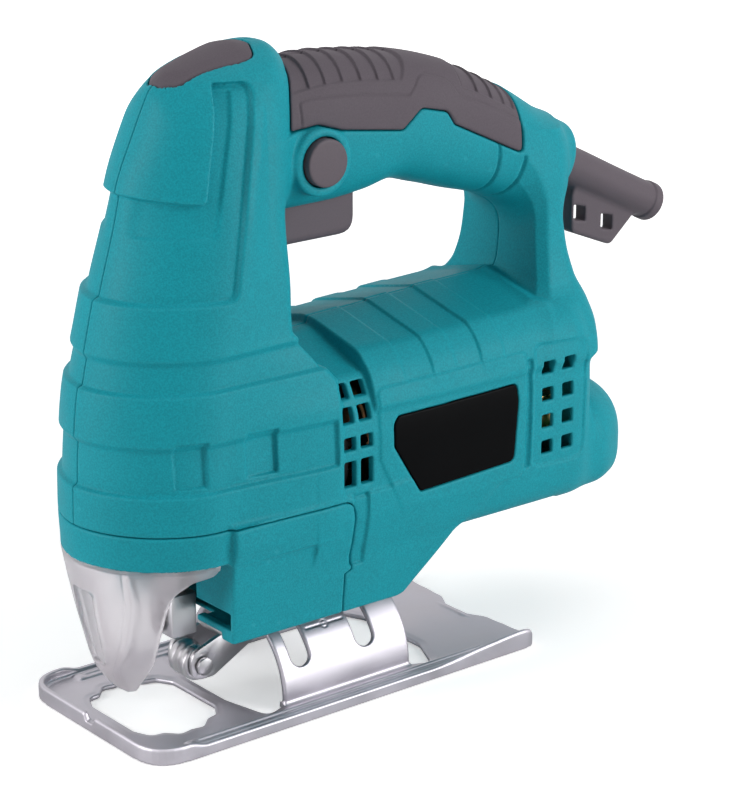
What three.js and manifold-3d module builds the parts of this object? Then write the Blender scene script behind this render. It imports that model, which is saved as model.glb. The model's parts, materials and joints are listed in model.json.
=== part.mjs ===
// Corded jigsaw: moulded clamshell body, gearbox front, scotch-yoke drive, stamped tilting shoe.
// Millimetres, +Z up. While modelling, x runs back from the shoe's front edge, y = 0 is the parting
// plane of the clamshell and z = 0 is the sole. The finished group is centred over its footprint.
import * as THREE from 'three';
import { mergeVertices } from 'three/addons/utils/BufferGeometryUtils.js';
import Module from 'manifold-3d';

const wasm = await Module();
wasm.setup();

// ---------------------------------------------------------------- driving dimensions
const WALL = 2.6;              // moulded wall of the clamshell
const GAP = 0.3;               // clearance between neighbouring pieces
const SEAM = 0.15;             // half of the parting gap between the two clamshell halves
const SKIN = 2.0;              // thickness of the soft grip and the top cap
// Finest step that a surface keeps: on small pieces, on the shells, and on the unseen inner faces.
const FACET = 0.05;
const SHELL_FACET = 0.12;
const CAVITY_FACET = 0.5;
const BAND_DEPTH = 1.5;        // depth of the recessed bands round the nose
const BAND_SLOPE = 1.6;        // height over which a band's edge ramps

const SHOE_WIDTH = 70;
const SHOE_LENGTH = 146;
const PLATE = 2.0;             // thickness of the stamped shoe
const RIM_FRONT = 5.0;         // height of the turned-up rim at the nose of the shoe
const RIM_SIDE = 3.4;
const RIM_TAIL = 6.2;
const RIM_WALL = 1.8;
const TILT_Z = 3.0;            // height of the bevel axis above the sole
const ARCH_RADIUS = 25.0;      // outside of the rolled saddle under the gearbox
const ARCH_FRONT = 53.5;
const ARCH_REAR = 101.5;
const ARCH_SLOTS = [61.5, 86]; // stations of the two clamping screws
const ARCH_SLOT_WIDTH = 7.0;
const ARCH_SLOT_ANGLE = 61;    // reach of each slot either side of upright, degrees
const HOUSING_BASE = 28.6;     // underside of the gearbox

const BLADE_X = 31;            // line of the plunger
const STROKE = 18;
const MOTOR_Z = 75;            // armature axis
const MODULE = 1.0;
const PINION_TEETH = 10;
const GEAR_TEETH = 40;
const GEAR_Z = MOTOR_Z + MODULE * (PINION_TEETH + GEAR_TEETH) / 2;
const GEAR_FRONT = 46;
const GEAR_WIDTH = 7;
const SHAFT_R = 4;
const SPINDLE_R = 4;
const CRANK_R = 3;
const PLUNGER_R = 4.5;
const BEARING_R = 11;
const BEARING_WIDTH = 7;
const FRAME_X = 59;            // front face of the gearbox frame
const REAR_BEARING_X = 161;
const FIELD_R = 24;
const FIELD_BORE = 15.5;
const FIELD_X = [95, 135];
const COMMUTATOR_X = [145.2, 157];
const COMMUTATOR_R = 11.5;

const ROLLER = { x: 36.8, z: 13, r: 5.5, width: 9, groove: 1.1, pin: 2.0 };
const BUTTON = { x: 73, z: 164, r: 7, hole: 7.5, bezel: 10.2 };
const SCREW = { shank: 1.8, head: 3.2, headHeight: 2.5, seat: 11, tip: -9 };
const SLEEVE = { x: 190, z: 141.1, angle: 26, r: 6.2, length: 37, flange: 6.8 };

// ---------------------------------------------------------------- solids
const toSolid = (geometry) => {
  const bare = geometry.clone();
  bare.deleteAttribute('normal');
  bare.deleteAttribute('uv');
  const merged = mergeVertices(bare, 1e-4);
  const mesh = new wasm.Mesh({
    numProp: 3,
    vertProperties: Float32Array.from(merged.attributes.position.array),
    triVerts: Uint32Array.from(merged.index.array),
  });
  return new wasm.Manifold(mesh);
};

const toGeometry = (solid) => {
  const mesh = solid.getMesh();
  const geometry = new THREE.BufferGeometry();
  geometry.setAttribute('position', new THREE.BufferAttribute(mesh.vertProperties, 3));
  geometry.setIndex(new THREE.BufferAttribute(mesh.triVerts, 1));
  geometry.computeVertexNormals();
  return geometry;
};

const unite = (...solids) => solids.flat().reduce((a, b) => a.add(b));

// A box from its two opposite corners.
function block(low, high) {
  const size = high.map((v, i) => v - low[i]);
  const geometry = new THREE.BoxGeometry(...size);
  geometry.translate(...low.map((v, i) => v + size[i] / 2));
  return toSolid(geometry);
}

// A revolved profile of [radius, distance] pairs, its axis along +X, +Y or +Z from the given origin.
function turned(profile, axis, origin, segments = 24) {
  const closed = profile[0][0] === 0 ? profile : [...profile, profile[0]];
  const geometry = new THREE.LatheGeometry(closed.map(([r, d]) => new THREE.Vector2(r, d)), segments);
  const direction = new THREE.Vector3(axis === 'x' ? 1 : 0, axis === 'y' ? 1 : 0, axis === 'z' ? 1 : 0);
  const turn = new THREE.Quaternion().setFromUnitVectors(new THREE.Vector3(0, 1, 0), direction);
  geometry.applyQuaternion(turn).translate(...origin);
  const solid = toSolid(geometry);
  if (solid.volume() > 0) return solid;
  const flipped = geometry.toNonIndexed();
  const p = flipped.attributes.position;
  for (let i = 0; i < p.count; i += 3) {
    const a = new THREE.Vector3().fromBufferAttribute(p, i);
    const c = new THREE.Vector3().fromBufferAttribute(p, i + 2);
    p.setXYZ(i, c.x, c.y, c.z);
    p.setXYZ(i + 2, a.x, a.y, a.z);
  }
  return toSolid(flipped);
}

const rod = (r, length, axis, origin, segments = 24) =>
  turned([[0, 0], [r, 0], [r, length], [0, length]], axis, origin, segments);

const tube = (outer, inner, length, axis, origin, segments = 24) =>
  turned([[inner, 0], [outer, 0], [outer, length], [inner, length]], axis, origin, segments);

// A closed outline pushed out along one axis between two stations.
function prism(points, axis, from, to, holes = []) {
  const shape = new THREE.Shape(points.map(([u, v]) => new THREE.Vector2(u, v)));
  for (const hole of holes) {
    shape.holes.push(new THREE.Path(hole.map(([u, v]) => new THREE.Vector2(u, v))));
  }
  const geometry = new THREE.ExtrudeGeometry(shape, { depth: to - from, bevelEnabled: false });
  if (axis === 'z') geometry.translate(0, 0, from);
  if (axis === 'y') geometry.rotateX(Math.PI / 2).translate(0, to, 0);
  if (axis === 'x') {
    geometry.applyMatrix4(new THREE.Matrix4().makeBasis(
      new THREE.Vector3(0, 1, 0), new THREE.Vector3(0, 0, 1), new THREE.Vector3(1, 0, 0)));
    geometry.translate(from, 0, 0);
  }
  return toSolid(geometry);
}

// Rings of points, all with the same count and the same way round, skinned and capped.
function loft(rings) {
  const n = rings[0].length;
  const vertices = rings.flat();
  const triangles = [];
  for (let i = 0; i + 1 < rings.length; i += 1) {
    for (let j = 0; j < n; j += 1) {
      const a = i * n + j;
      const b = i * n + (j + 1) % n;
      triangles.push(a, b, b + n, a, b + n, a + n);
    }
  }
  for (const [ring, flip] of [[0, true], [rings.length - 1, false]]) {
    const middle = rings[ring].reduce((sum, p) => sum.add(p), new THREE.Vector3()).divideScalar(n);
    vertices.push(middle);
    for (let j = 0; j < n; j += 1) {
      const a = ring * n + j;
      const b = ring * n + (j + 1) % n;
      triangles.push(vertices.length - 1, flip ? b : a, flip ? a : b);
    }
  }
  const build = (list) => {
    const geometry = new THREE.BufferGeometry();
    const positions = vertices.flatMap((p) => [p.x, p.y, p.z]);
    geometry.setAttribute('position', new THREE.Float32BufferAttribute(positions, 3));
    geometry.setIndex(list);
    return toSolid(geometry);
  };
  const solid = build(triangles);
  if (solid.volume() > 0) return solid;
  return build(triangles.map((v, i) =>
    (i % 3 === 1 ? triangles[i + 1] : i % 3 === 2 ? triangles[i - 1] : v)));
}

const mix = (a, b, t) => a + (b - a) * t;

// Values of a station table at one position, straight between stations.
function at(table, key, position) {
  const last = table.length - 1;
  if (position <= table[0][key]) return table[0];
  if (position >= table[last][key]) return table[last];
  const i = table.findIndex((row) => row[key] > position) - 1;
  const t = (position - table[i][key]) / (table[i + 1][key] - table[i][key]);
  return Object.fromEntries(Object.keys(table[i]).map((k) => [k, mix(table[i][k], table[i + 1][k], t)]));
}

// Outline moved outwards by a distance (inwards if negative); the outline runs anticlockwise.
function offset(points, distance) {
  const n = points.length;
  return points.map((p, i) => {
    const before = points[(i + n - 1) % n];
    const after = points[(i + 1) % n];
    const e0 = new THREE.Vector2(p[0] - before[0], p[1] - before[1]).normalize();
    const e1 = new THREE.Vector2(after[0] - p[0], after[1] - p[1]).normalize();
    const n0 = new THREE.Vector2(e0.y, -e0.x);
    const n1 = new THREE.Vector2(e1.y, -e1.x);
    const scale = distance / Math.max(0.35, 1 + n0.dot(n1));
    return [p[0] + (n0.x + n1.x) * scale, p[1] + (n0.y + n1.y) * scale];
  });
}

// Outline with its corners rounded; each point is [u, v, radius].
function rounded(points, steps = 4) {
  const n = points.length;
  return points.flatMap(([u, v, r], i) => {
    if (!r) return [[u, v]];
    const p = new THREE.Vector2(u, v);
    const a = new THREE.Vector2(...points[(i + n - 1) % n]).sub(p);
    const b = new THREE.Vector2(...points[(i + 1) % n]).sub(p);
    const half = a.angleTo(b) / 2;
    const reach = Math.min(r / Math.tan(half), a.length() * 0.49, b.length() * 0.49);
    const start = a.normalize().multiplyScalar(reach).add(p);
    const end = b.normalize().multiplyScalar(reach).add(p);
    const curve = new THREE.QuadraticBezierCurve(start, p, end);
    return curve.getPoints(steps).map((q) => [q.x, q.y]);
  });
}

// Superellipse ring across X: separate squareness above and below the middle.
function ringX(x, { top, bottom, half, middle, nTop, nBottom }, inset, count = 36) {
  const zTop = top - inset;
  const zBottom = bottom + inset;
  const width = half - inset;
  return Array.from({ length: count }, (_, i) => {
    const t = 2 * Math.PI * (i + 0.5) / count;
    const c = Math.cos(t);
    const s = Math.sin(t);
    const n = s >= 0 ? nTop : nBottom;
    const height = s >= 0 ? zTop - middle : middle - zBottom;
    return new THREE.Vector3(
      x,
      width * Math.sign(c) * Math.abs(c) ** (2 / n),
      middle + height * Math.sign(s) * Math.abs(s) ** (2 / n),
    );
  });
}

// Plan ring of the nose: superelliptic front, straight sides, rounded rear. `sink` lowers the skin of
// the front and cheeks, and `rearSink` says how much of that reaches the rear.
function ringZ(z, { nose, cheek, back, rear, bend }, inset, sink = 0, rearSink = 1, steps = 7) {
  const front = nose + inset + sink;
  const tail = rear - inset;
  const reach = Math.min(30, 0.62 * (tail - front));
  const frontHalf = cheek - inset - sink;
  const backHalf = back - inset - sink * rearSink;
  const bendX = Math.min(bend, 0.3 * (tail - front));
  const bendY = Math.min(bend * 1.3, backHalf * 0.96);
  const side = [];
  for (let i = 0; i <= steps; i += 1) {
    const t = (Math.PI / 2) * i / steps;
    side.push([
      front + reach * (1 - Math.cos(t) ** (2 / NOSE_POINTED)),
      frontHalf * Math.sin(t) ** (2 / NOSE_POINTED),
    ]);
  }
  side.push([mix(front + reach, tail - bendX, 0.55), mix(frontHalf, backHalf, 0.6)]);
  for (const degrees of [0, 30, 60, 90]) {
    const a = THREE.MathUtils.degToRad(degrees);
    side.push([tail - bendX + bendX * Math.sin(a), backHalf - bendY + bendY * Math.cos(a)]);
  }
  const left = side.slice(1).reverse().map(([x, y]) => [x, -y]);
  return [...left, ...side].map(([x, y]) => new THREE.Vector3(x, y, z));
}

// ---------------------------------------------------------------- outer forms of the clamshell
// Plan sections of the nose and its column: nose edge, half widths and rear edge at each height.
const NOSE = [
  { z: 55, nose: -2.6, cheek: 30.8, back: 33.6, rear: 70, bend: 4 },
  { z: 66, nose: -2.8, cheek: 31.6, back: 34.8, rear: 70, bend: 4 },
  { z: 77, nose: -2.6, cheek: 31.6, back: 34.8, rear: 70, bend: 4 },
  { z: 94, nose: -1.5, cheek: 30.7, back: 34.0, rear: 70, bend: 4 },
  { z: 106, nose: 0.1, cheek: 29.8, back: 31.6, rear: 69, bend: 9 },
  { z: 117, nose: 2.2, cheek: 28.6, back: 28.6, rear: 58, bend: 6 },
  { z: 132, nose: 5.8, cheek: 28.0, back: 26.4, rear: 58.4, bend: 6.5 },
  { z: 150, nose: 11.8, cheek: 26.6, back: 23.8, rear: 60.6, bend: 8 },
  { z: 163, nose: 15.2, cheek: 24.4, back: 22.2, rear: 64.6, bend: 12 },
  { z: 177, nose: 21.4, cheek: 21.6, back: 20.6, rear: 68, bend: 15 },
  { z: 186, nose: 25.8, cheek: 18.8, back: 18.8, rear: 69.4, bend: 16 },
  { z: 190.5, nose: 29.0, cheek: 16.2, back: 16.8, rear: 69.2, bend: 16 },
  { z: 193.6, nose: 36.5, cheek: 13.2, back: 13.8, rear: 67.6, bend: 15 },
  { z: 196.4, nose: 46, cheek: 9.8, back: 10.2, rear: 65, bend: 12 },
  { z: 198.4, nose: 54.5, cheek: 4.6, back: 4.6, rear: 62, bend: 4 },
];
const NOSE_POINTED = 1.85;
const NOSE_BANDS = [[77, 92], [106, 116]];   // recessed bands round the nose
const NOSE_STEP = [132, 158];                // panel step of the column

function bandDepth(z) {
  const inside = ([low, high]) => Math.max(0, Math.min(1, (z - low) / BAND_SLOPE, (high - z) / BAND_SLOPE));
  const step = z > NOSE_STEP[0] ? Math.min(1, (z - NOSE_STEP[0]) / BAND_SLOPE) : 0;
  const notch = z > NOSE_STEP[1] ? Math.min(1, (z - NOSE_STEP[1]) / BAND_SLOPE) : 0;
  const fade = z > 180 ? Math.max(0, (190 - z) / 10) : 1;
  return BAND_DEPTH * Math.max(...NOSE_BANDS.map(inside), (step - notch) * 0.9, 0) * fade;
}

function noseForm(inset = 0, low = 55) {
  const inner = inset > 0.5;
  const stations = NOSE.map((row) => row.z);
  const edges = [...NOSE_BANDS.flat(), ...NOSE_STEP];
  const ramps = [
    ...NOSE_BANDS.flatMap(([a, b]) => [a, a + BAND_SLOPE, b - BAND_SLOPE, b]),
    ...NOSE_STEP.flatMap((a) => [a, a + BAND_SLOPE]),
  ];
  const plain = stations.filter((z) => edges.every((edge) => Math.abs(z - edge) > 2));
  const heights = [low, ...(inner ? stations : [...ramps, ...plain])];
  const ordered = [...new Set(heights)].filter((z) => z >= low).sort((a, b) => a - b);
  return loft(ordered.map((z) => {
    const dome = THREE.MathUtils.smoothstep(z, 170, 186);
    const rearSink = z < NOSE_STEP[0] ? 1 : 0;
    const sink = inner ? BAND_DEPTH / 2 : bandDepth(z);
    return ringZ(z - inset * dome, at(NOSE, 'z', z), inset, sink, rearSink, inner ? 3 : 5);
  }));
}

// Cross sections of the motor housing, front to back, and of the bearing dome behind it.
const motorSection = (half, top, bottom, middle = 77, nTop = 2.75) =>
  ({ half, top, bottom, middle, nTop, nBottom: 7 });
const MOTOR = [
  { x: 64, ...motorSection(33.8, 106.6, 44.4, 77, 3.5) },
  { x: 82.6, ...motorSection(33.8, 107.8, 44.4, 77, 3.5) },
  { x: 84.4, ...motorSection(34.5, 110.2, 44.2) },
  { x: 104, ...motorSection(34.6, 111.2, 44.2) },
  { x: 148, ...motorSection(34.6, 113.6, 44.2) },
  { x: 162, ...motorSection(34, 113, 44.4) },
  { x: 171, ...motorSection(31.6, 110, 44.8) },
  { x: 176.6, ...motorSection(27, 103, 46) },
];
const DOME = [
  { x: 168, ...motorSection(31, 77, 42.4, 57) },
  { x: 181, ...motorSection(29, 76.4, 43, 57) },
  { x: 188, ...motorSection(25, 74.6, 44.6, 57) },
  { x: 192.4, ...motorSection(19.6, 71.4, 47.4, 57) },
  { x: 194.6, ...motorSection(12, 66.6, 51.4, 57) },
];
// The D handle: top line, underside and half width.
const gripSection = (top, bottom, half) => ({
  top, bottom, half, middle: (top + bottom) / 2, nTop: 2.5, nBottom: 2.7,
});
const HANDLE = [
  { x: 54, ...gripSection(188, 147.5, 17.2) },
  { x: 66, ...gripSection(191.4, 147.5, 17.4) },
  { x: 82, ...gripSection(192.6, 148, 17.8) },
  { x: 96, ...gripSection(191.6, 148.8, 18.2) },
  { x: 106, ...gripSection(190.4, 151.4, 18.4) },
  { x: 118, ...gripSection(188.2, 148, 18.4) },
  { x: 130, ...gripSection(184.8, 144.8, 18.4) },
  { x: 143, ...gripSection(179, 141.4, 18.4) },
  { x: 155, ...gripSection(172.4, 136, 18) },
  { x: 165, ...gripSection(166, 132, 16.8) },
  { x: 172, ...gripSection(161, 133, 15) },
  { x: 177, ...gripSection(157.4, 136, 12.4) },
];
// Plan sections of the rear post between the handle and the motor.
const POST = [
  { z: 92, front: 146, rear: 174, half: 31.4 },
  { z: 100, front: 150, rear: 174.4, half: 29.4 },
  { z: 107, front: 153.4, rear: 173.6, half: 26 },
  { z: 115, front: 156, rear: 172, half: 22.6 },
  { z: 124, front: 157.2, rear: 170.4, half: 20.6 },
  { z: 136, front: 157.6, rear: 169.4, half: 19.4 },
  { z: 148, front: 154, rear: 169.6, half: 17.6 },
  { z: 158, front: 148, rear: 170, half: 14.5 },
];

const formX = (table, inset, count) => loft(table.map((row, i) => {
  const end = i === 0 ? inset : i === table.length - 1 ? -inset : 0;
  return ringX(row.x + end, row, inset, count);
}));

function postForm(inset) {
  return loft(POST.map(({ z, front, rear, half }) => {
    const ring = rounded([
      [front + inset, -half + inset, 5], [rear - inset, -half + inset, 6],
      [rear - inset, half - inset, 6], [front + inset, half - inset, 5],
    ], 3);
    return ring.map(([x, y]) => new THREE.Vector3(x, y, z));
  }));
}

const sleeveTurn = (solid) => solid
  .rotate([0, 90 + SLEEVE.angle, 0])
  .translate([SLEEVE.x, 0, SLEEVE.z]);

// Rounded collar of the housing round the cord sleeve, drawn along +Z and then laid on the sleeve's axis.
const collarForm = (inset) => sleeveTurn(turned(
  [[0, -36], [9.6 - inset, -36], [11.6 - inset, -22], [11.6 - inset, -14.5], [9.8 - inset, -10.6 - inset],
    [0, -10.6 - inset]], 'z', [0, 0, 0], 18));

// Gearbox foot under the nose: vertical sides, sloping up to the motor behind.
function footForm(inset) {
  const plan = (z, front, rear, halfFront, halfRear) => rounded([
    [front + inset, -halfFront + inset, 2.5], [rear - inset, -halfRear + inset, 1],
    [rear - inset, halfRear - inset, 1], [front + inset, halfFront - inset, 2.5],
  ], 3).map(([x, y]) => new THREE.Vector3(x, y, z));
  const upright = loft([
    plan(HOUSING_BASE + inset, 31.4, 112, 29.8, 30.2),
    plan(44, 31, 112, 30.8, 32.6),
    plan(60, 30.6, 112, 31.4, 33.8),
  ]);
  const slope = prism([[20, 20], [94.5, 20], [94.5 - inset * 0.6, HOUSING_BASE + inset * 0.5],
    [111 - inset, 43], [111 - inset, 70], [20, 70]], 'y', -60, 60);
  return upright.intersect(slope);
}

const outerForm = (inset, count = 26) => unite(
  noseForm(inset),
  formX(MOTOR, inset, count),
  formX(DOME, inset, 20),
  formX(HANDLE, inset, 20),
  postForm(inset),
  collarForm(inset),
);

// ---------------------------------------------------------------- assembly
const tool = new THREE.Group();

const look = (color, roughness, metalness = 0, extra = {}) => () =>
  new THREE.MeshStandardMaterial({ color, roughness, metalness, ...extra });
const finish = {
  teal: look(0x16919f, 0.55),
  rubber: look(0x5d545c, 0.75),
  black: look(0x0a0a0c, 0.4),
  clear: look(0xe6dfe4, 0.2, 0, { transparent: true, opacity: 0.5 }),
  zinc: look(0xb9b6c0, 0.32, 1),
  steel: look(0x9a9aa0, 0.35, 1),
  alloy: look(0xb0b2b5, 0.5, 1),
  copper: look(0xb06a3a, 0.4, 1),
  brass: look(0xc9a24a, 0.35, 1),
  bronze: look(0x9c7440, 0.5, 1),
  carbon: look(0x2a2a2c, 0.7),
  moulding: look(0x1c1c1e, 0.6),
};

function place(name, solid, material, facet = FACET) {
  const mesh = new THREE.Mesh(toGeometry(solid.asOriginal().simplify(facet)), finish[material]());
  mesh.name = name;
  tool.add(mesh);
}

const FAR = 80;
const leftSide = block([-20, -FAR, -5], [260, -SEAM, 220]);
const rightSide = block([-20, SEAM, -5], [260, FAR, 220]);
const polar = (r, degrees) => {
  const a = THREE.MathUtils.degToRad(degrees);
  return [r * Math.cos(a), r * Math.sin(a)];
};

// Saddle under the foot that the rolled part of the shoe turns against.
const saddle = prism([[-19.5, 24], [19.5, 24], [19.5, HOUSING_BASE + 3], [-19.5, HOUSING_BASE + 3]],
  'x', ARCH_FRONT, 94).subtract(rod(ARCH_RADIUS + GAP, 60, 'x', [ARCH_FRONT - 2, 0, TILT_Z], 64));
const foot = footForm(0).add(saddle);
const bodyOutside = outerForm(0).add(foot).asOriginal().simplify(SHELL_FACET);

// Side profile of the gearbox cover; the clamshell starts one gap outside it.
const COVER_TOP = 65.3;
const COVER = rounded([[-12, 10, 0], [71.2, 10, 0], [71.2, 41.5, 0], [73.6, 42.6, 0], [73.6, COVER_TOP, 7],
  [-12, COVER_TOP, 0]]);
const coverPrism = (extra) => prism(offset(COVER, extra), 'y', -60, 60);

const shoeScrewHoles = unite(ARCH_SLOTS.map((x) => rod(2.5 + GAP, 30, 'z', [x, 0, 14], 16)));
const plungerHole = (r) => rod(r, 40, 'z', [BLADE_X, 0, 50], 28);
const BUSH_R = 7.5;

const screws = [
  { x: 43, z: 176 }, { x: 113, z: 168 }, { x: 163.6, z: 121 },
  { x: 158, z: 51 }, { x: 104, z: 46 }, { x: 12.5, z: 99 },
];
const BOSS_R = 4.9;

function gearboxCover() {
  const shell = bodyOutside.intersect(coverPrism(0));
  const cavity = unite(
    noseForm(WALL).intersect(block([-10, -40, 58], [75, 40, 70])),
    block([34, -27.6, 32.4], [71, 27.6, 70]),
  );
  const boss = rod(BUSH_R + 3.4, 9.6, 'z', [BLADE_X, 0, 55.7], 28);
  const screwBoss = rod(5.5, 14, 'z', [ARCH_SLOTS[0], 0, 30], 20);
  // Pocket for the plunger clamp in the front of the foot, with the dust slot across it.
  const pocket = block([24, -12, 20], [37.4, 12, 54]);
  const dustSlot = block([29, -29, 33.6], [35, 29, 38.8]);
  const relief = block([29, -24, 20], [ARCH_FRONT - 2, 24, 31.2]);
  return shell.subtract(cavity).add(boss).add(screwBoss)
    .subtract(unite(pocket, dustSlot, relief, plungerHole(BUSH_R + GAP), shoeScrewHoles));
}

// Labels, grips and caps are let into the clamshell by their own thickness.
const GRIP_EDGE = [
  [50, 171.5], [65, 173.6], [73, 174.2], [81.5, 171.6], [103.7, 168.6], [110.9, 174.2], [120.9, 171.9],
  [123.7, 167.6], [150.6, 155.2], [150.6, 215], [50, 215],
];
const handleForm = (inset) => formX(HANDLE, inset, 20);
const LABEL = [[97.4, 62.5], [134.4, 64.1], [136, 83.2], [135.5, 88.7], [89.5, 87.8], [87.8, 85.4],
  [87.7, 78.6]];
const LABEL_DEPTH = 0.8;
const capOutline = Array.from({ length: 28 }, (_, i) => {
  const t = 2 * Math.PI * i / 28;
  const along = 0.5 - 0.5 * Math.cos(t);
  return [28.6 + 32.4 * along, -10.6 * Math.sin(t) * (0.62 + 0.56 * along)];
});

const gripSkin = handleForm(0).subtract(handleForm(SKIN))
  .intersect(prism(GRIP_EDGE, 'y', -40, 40)).subtract(noseForm(-GAP));
const gripRecess = handleForm(-1).subtract(handleForm(SKIN + GAP))
  .intersect(prism(offset(GRIP_EDGE, GAP), 'y', -40, 40)).subtract(noseForm(0));
const capSolid = prism(capOutline, 'z', 175, 205).intersect(noseForm(0))
  .subtract(noseForm(0).translate([0, 0, -SKIN]));
const capRecess = prism(offset(capOutline, GAP), 'z', 175, 205)
  .subtract(noseForm(0).translate([0, 0, -SKIN - GAP]));
const labelSolid = formX(MOTOR, 0).subtract(formX(MOTOR, LABEL_DEPTH))
  .intersect(prism(LABEL, 'y', -60, 0));
const labelRecess = prism(offset(LABEL, GAP), 'y', -60, 0).subtract(formX(MOTOR, LABEL_DEPTH + GAP));

// Cooling slots: two columns of four behind the gearbox and two in front of the tail, on both sides.
const VENT_REACH = 23;         // the slots go through the skin and stop this far from the parting plane
const FRONT_VENTS = { x: [70.2, 76.4], rows: [[98.6, 4.4], [90.8, 5], [81.8, 4.2], [73, 7.6]], width: 4.2 };
const REAR_VENTS = { x: [149, 157.4], rows: [[91, 4.4], [82.3, 4.4], [73.6, 4.4], [65.2, 4.4]],
  width: 4.6 };
function vents() {
  const slot = (x, z, w, h) => block([x - w / 2, -45, z - h / 2], [x + w / 2, 45, z + h / 2]);
  const slots = [FRONT_VENTS, REAR_VENTS].flatMap(({ x, rows, width }) =>
    rows.flatMap(([z, height]) => x.map((column) => slot(column, z, width, height))));
  return unite(slots).subtract(block([60, -VENT_REACH, 55], [170, VENT_REACH, 110]));
}

// Upright grooves let into the skin: one down each side of the column, one before the rear slots.
const COLUMN_GROOVE = [[32.6, 119], [46.4, 187], [49, 187], [35.4, 119]];
const SIDE_GROOVE = [[139, 60.5], [141.2, 60.5], [142, 95], [139.8, 95]];
const GROOVE_DEPTH = 1.1;
function grooves() {
  const column = prism([...COLUMN_GROOVE].reverse(), 'y', -60, 60).subtract(noseForm(GROOVE_DEPTH - 0.4));
  const side = prism(SIDE_GROOVE, 'y', -60, 60).subtract(formX(MOTOR, GROOVE_DEPTH));
  return unite(column, side);
}

const SWITCH = { low: [66.5, -9, 163], high: [98, 9, 182] };
const TRIGGER_PIVOT = [66.5, 155];
const TRIGGER_PIN = 1.5;

function clamshell() {
  const cavity = unite(
    noseForm(WALL),
    formX(MOTOR, WALL, 18),
    loft([54, 72].map((x) => ringX(x, MOTOR[0], WALL, 18))),
    formX(DOME, WALL, 14),
    formX(HANDLE, WALL + 1.6, 14),
    postForm(WALL + 0.4),
    collarForm(WALL),
    footForm(WALL).intersect(block([70, -50, 20], [140, 50, 80])),
  ).subtract(block([-10, -50, 190], [80, 50, 230])).asOriginal().simplify(CAVITY_FACET);
  const bulkhead = (x, width, hole, low = 30, high = 112) => block([x, -50, low], [x + width, 50, high])
    .subtract(rod(hole, width + 2, 'x', [x - 1, 0, MOTOR_Z], 28));
  const ribs = unite(
    bulkhead(FRAME_X + BEARING_WIDTH + GAP, 1.6, 12.5, 66),
    bulkhead(FIELD_X[0] + 3, 2, FIELD_R + GAP),
    bulkhead(FIELD_X[1] - 5, 2, FIELD_R + GAP),
    bulkhead(REAR_BEARING_X - 0.5, BEARING_WIDTH + 1, BEARING_R + GAP, 52, 100),
    block([-10, -50, 126], [46, 50, 133]).subtract(rod(BUSH_R + GAP, 20, 'z', [BLADE_X, 0, 120], 28)),
    block([SWITCH.low[0] - 1.5, -30, SWITCH.low[2]], [SWITCH.low[0] + 1.5, 30, SWITCH.high[2] + 2]),
    block([SWITCH.high[0] - 1.5, -30, SWITCH.low[2]], [SWITCH.high[0] + 1.5, 30, SWITCH.high[2] + 2]),
    rod(5.5, 16, 'z', [ARCH_SLOTS[1], 0, 29], 20),
  ).subtract(block(SWITCH.low.map((v) => v - GAP), SWITCH.high.map((v) => v + GAP)));
  const bosses = unite(screws.map(({ x, z }) => rod(BOSS_R, 2 * FAR, 'y', [x, -FAR, z], 12)));
  const hollow = cavity.subtract(unite(ribs, bosses));
  const threads = unite(screws.map(({ x, z }) =>
    rod(SCREW.shank + GAP, 2 * FAR, 'y', [x, SCREW.tip - 0.6, z], 16)));
  const heads = unite(screws.map(({ x, z }) =>
    rod(SCREW.head + 0.4, FAR, 'y', [x, SCREW.seat - GAP, z], 20)));
  const triggerSlot = block([60.8, -8.2, 130], [97.4, 8.2, 158]);
  const buttonHole = rod(BUTTON.hole, 30, 'y', [BUTTON.x, -40, BUTTON.z], 20);
  const pinHole = rod(TRIGGER_PIN + GAP, 22.8, 'y', [TRIGGER_PIVOT[0], -11.4, TRIGGER_PIVOT[1]], 16);
  const sleeveHole = sleeveTurn(rod(SLEEVE.r + GAP, 40, 'z', [0, 0, -20], 20));
  const bezel = turned([[BUTTON.hole, -20.6], [BUTTON.bezel - 1.3, -20.6], [BUTTON.bezel, -17],
    [BUTTON.bezel, -12], [BUTTON.hole, -12]], 'y', [BUTTON.x, 0, BUTTON.z], 20)
    .subtract(handleForm(WALL + 1.6));
  return bodyOutside.add(bezel).subtract(coverPrism(GAP)).subtract(hollow)
    .subtract(gripRecess).subtract(capRecess).subtract(labelRecess).subtract(vents()).subtract(grooves())
    .subtract(unite(threads, heads, triggerSlot, buttonHole, pinHole, sleeveHole, shoeScrewHoles));
}

const shell = clamshell();
place('left_housing', shell.intersect(leftSide), 'teal', SHELL_FACET);
place('right_housing', shell.intersect(rightSide), 'teal', SHELL_FACET);
place('gearbox_cover', gearboxCover(), 'teal');
place('grip_left', gripSkin.intersect(leftSide), 'rubber');
place('grip_right', gripSkin.intersect(rightSide), 'rubber');
place('top_cap', capSolid, 'rubber');
place('label_panel', labelSolid, 'black');

screws.forEach(({ x, z }, i) => {
  const hex = Array.from({ length: 6 }, (_, k) => polar(1.6, 60 * k));
  const socket = prism(hex, 'y', -1.6, 2).translate([x, SCREW.seat + SCREW.headHeight, z]);
  place(`housing_screw_${i + 1}`, turned(
    [[0, SCREW.tip], [SCREW.shank, SCREW.tip], [SCREW.shank, SCREW.seat],
      [SCREW.head, SCREW.seat], [SCREW.head * 0.9, SCREW.seat + SCREW.headHeight],
      [0, SCREW.seat + SCREW.headHeight]],
    'y', [x, 0, z], 16).subtract(socket), 'steel');
});

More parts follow.
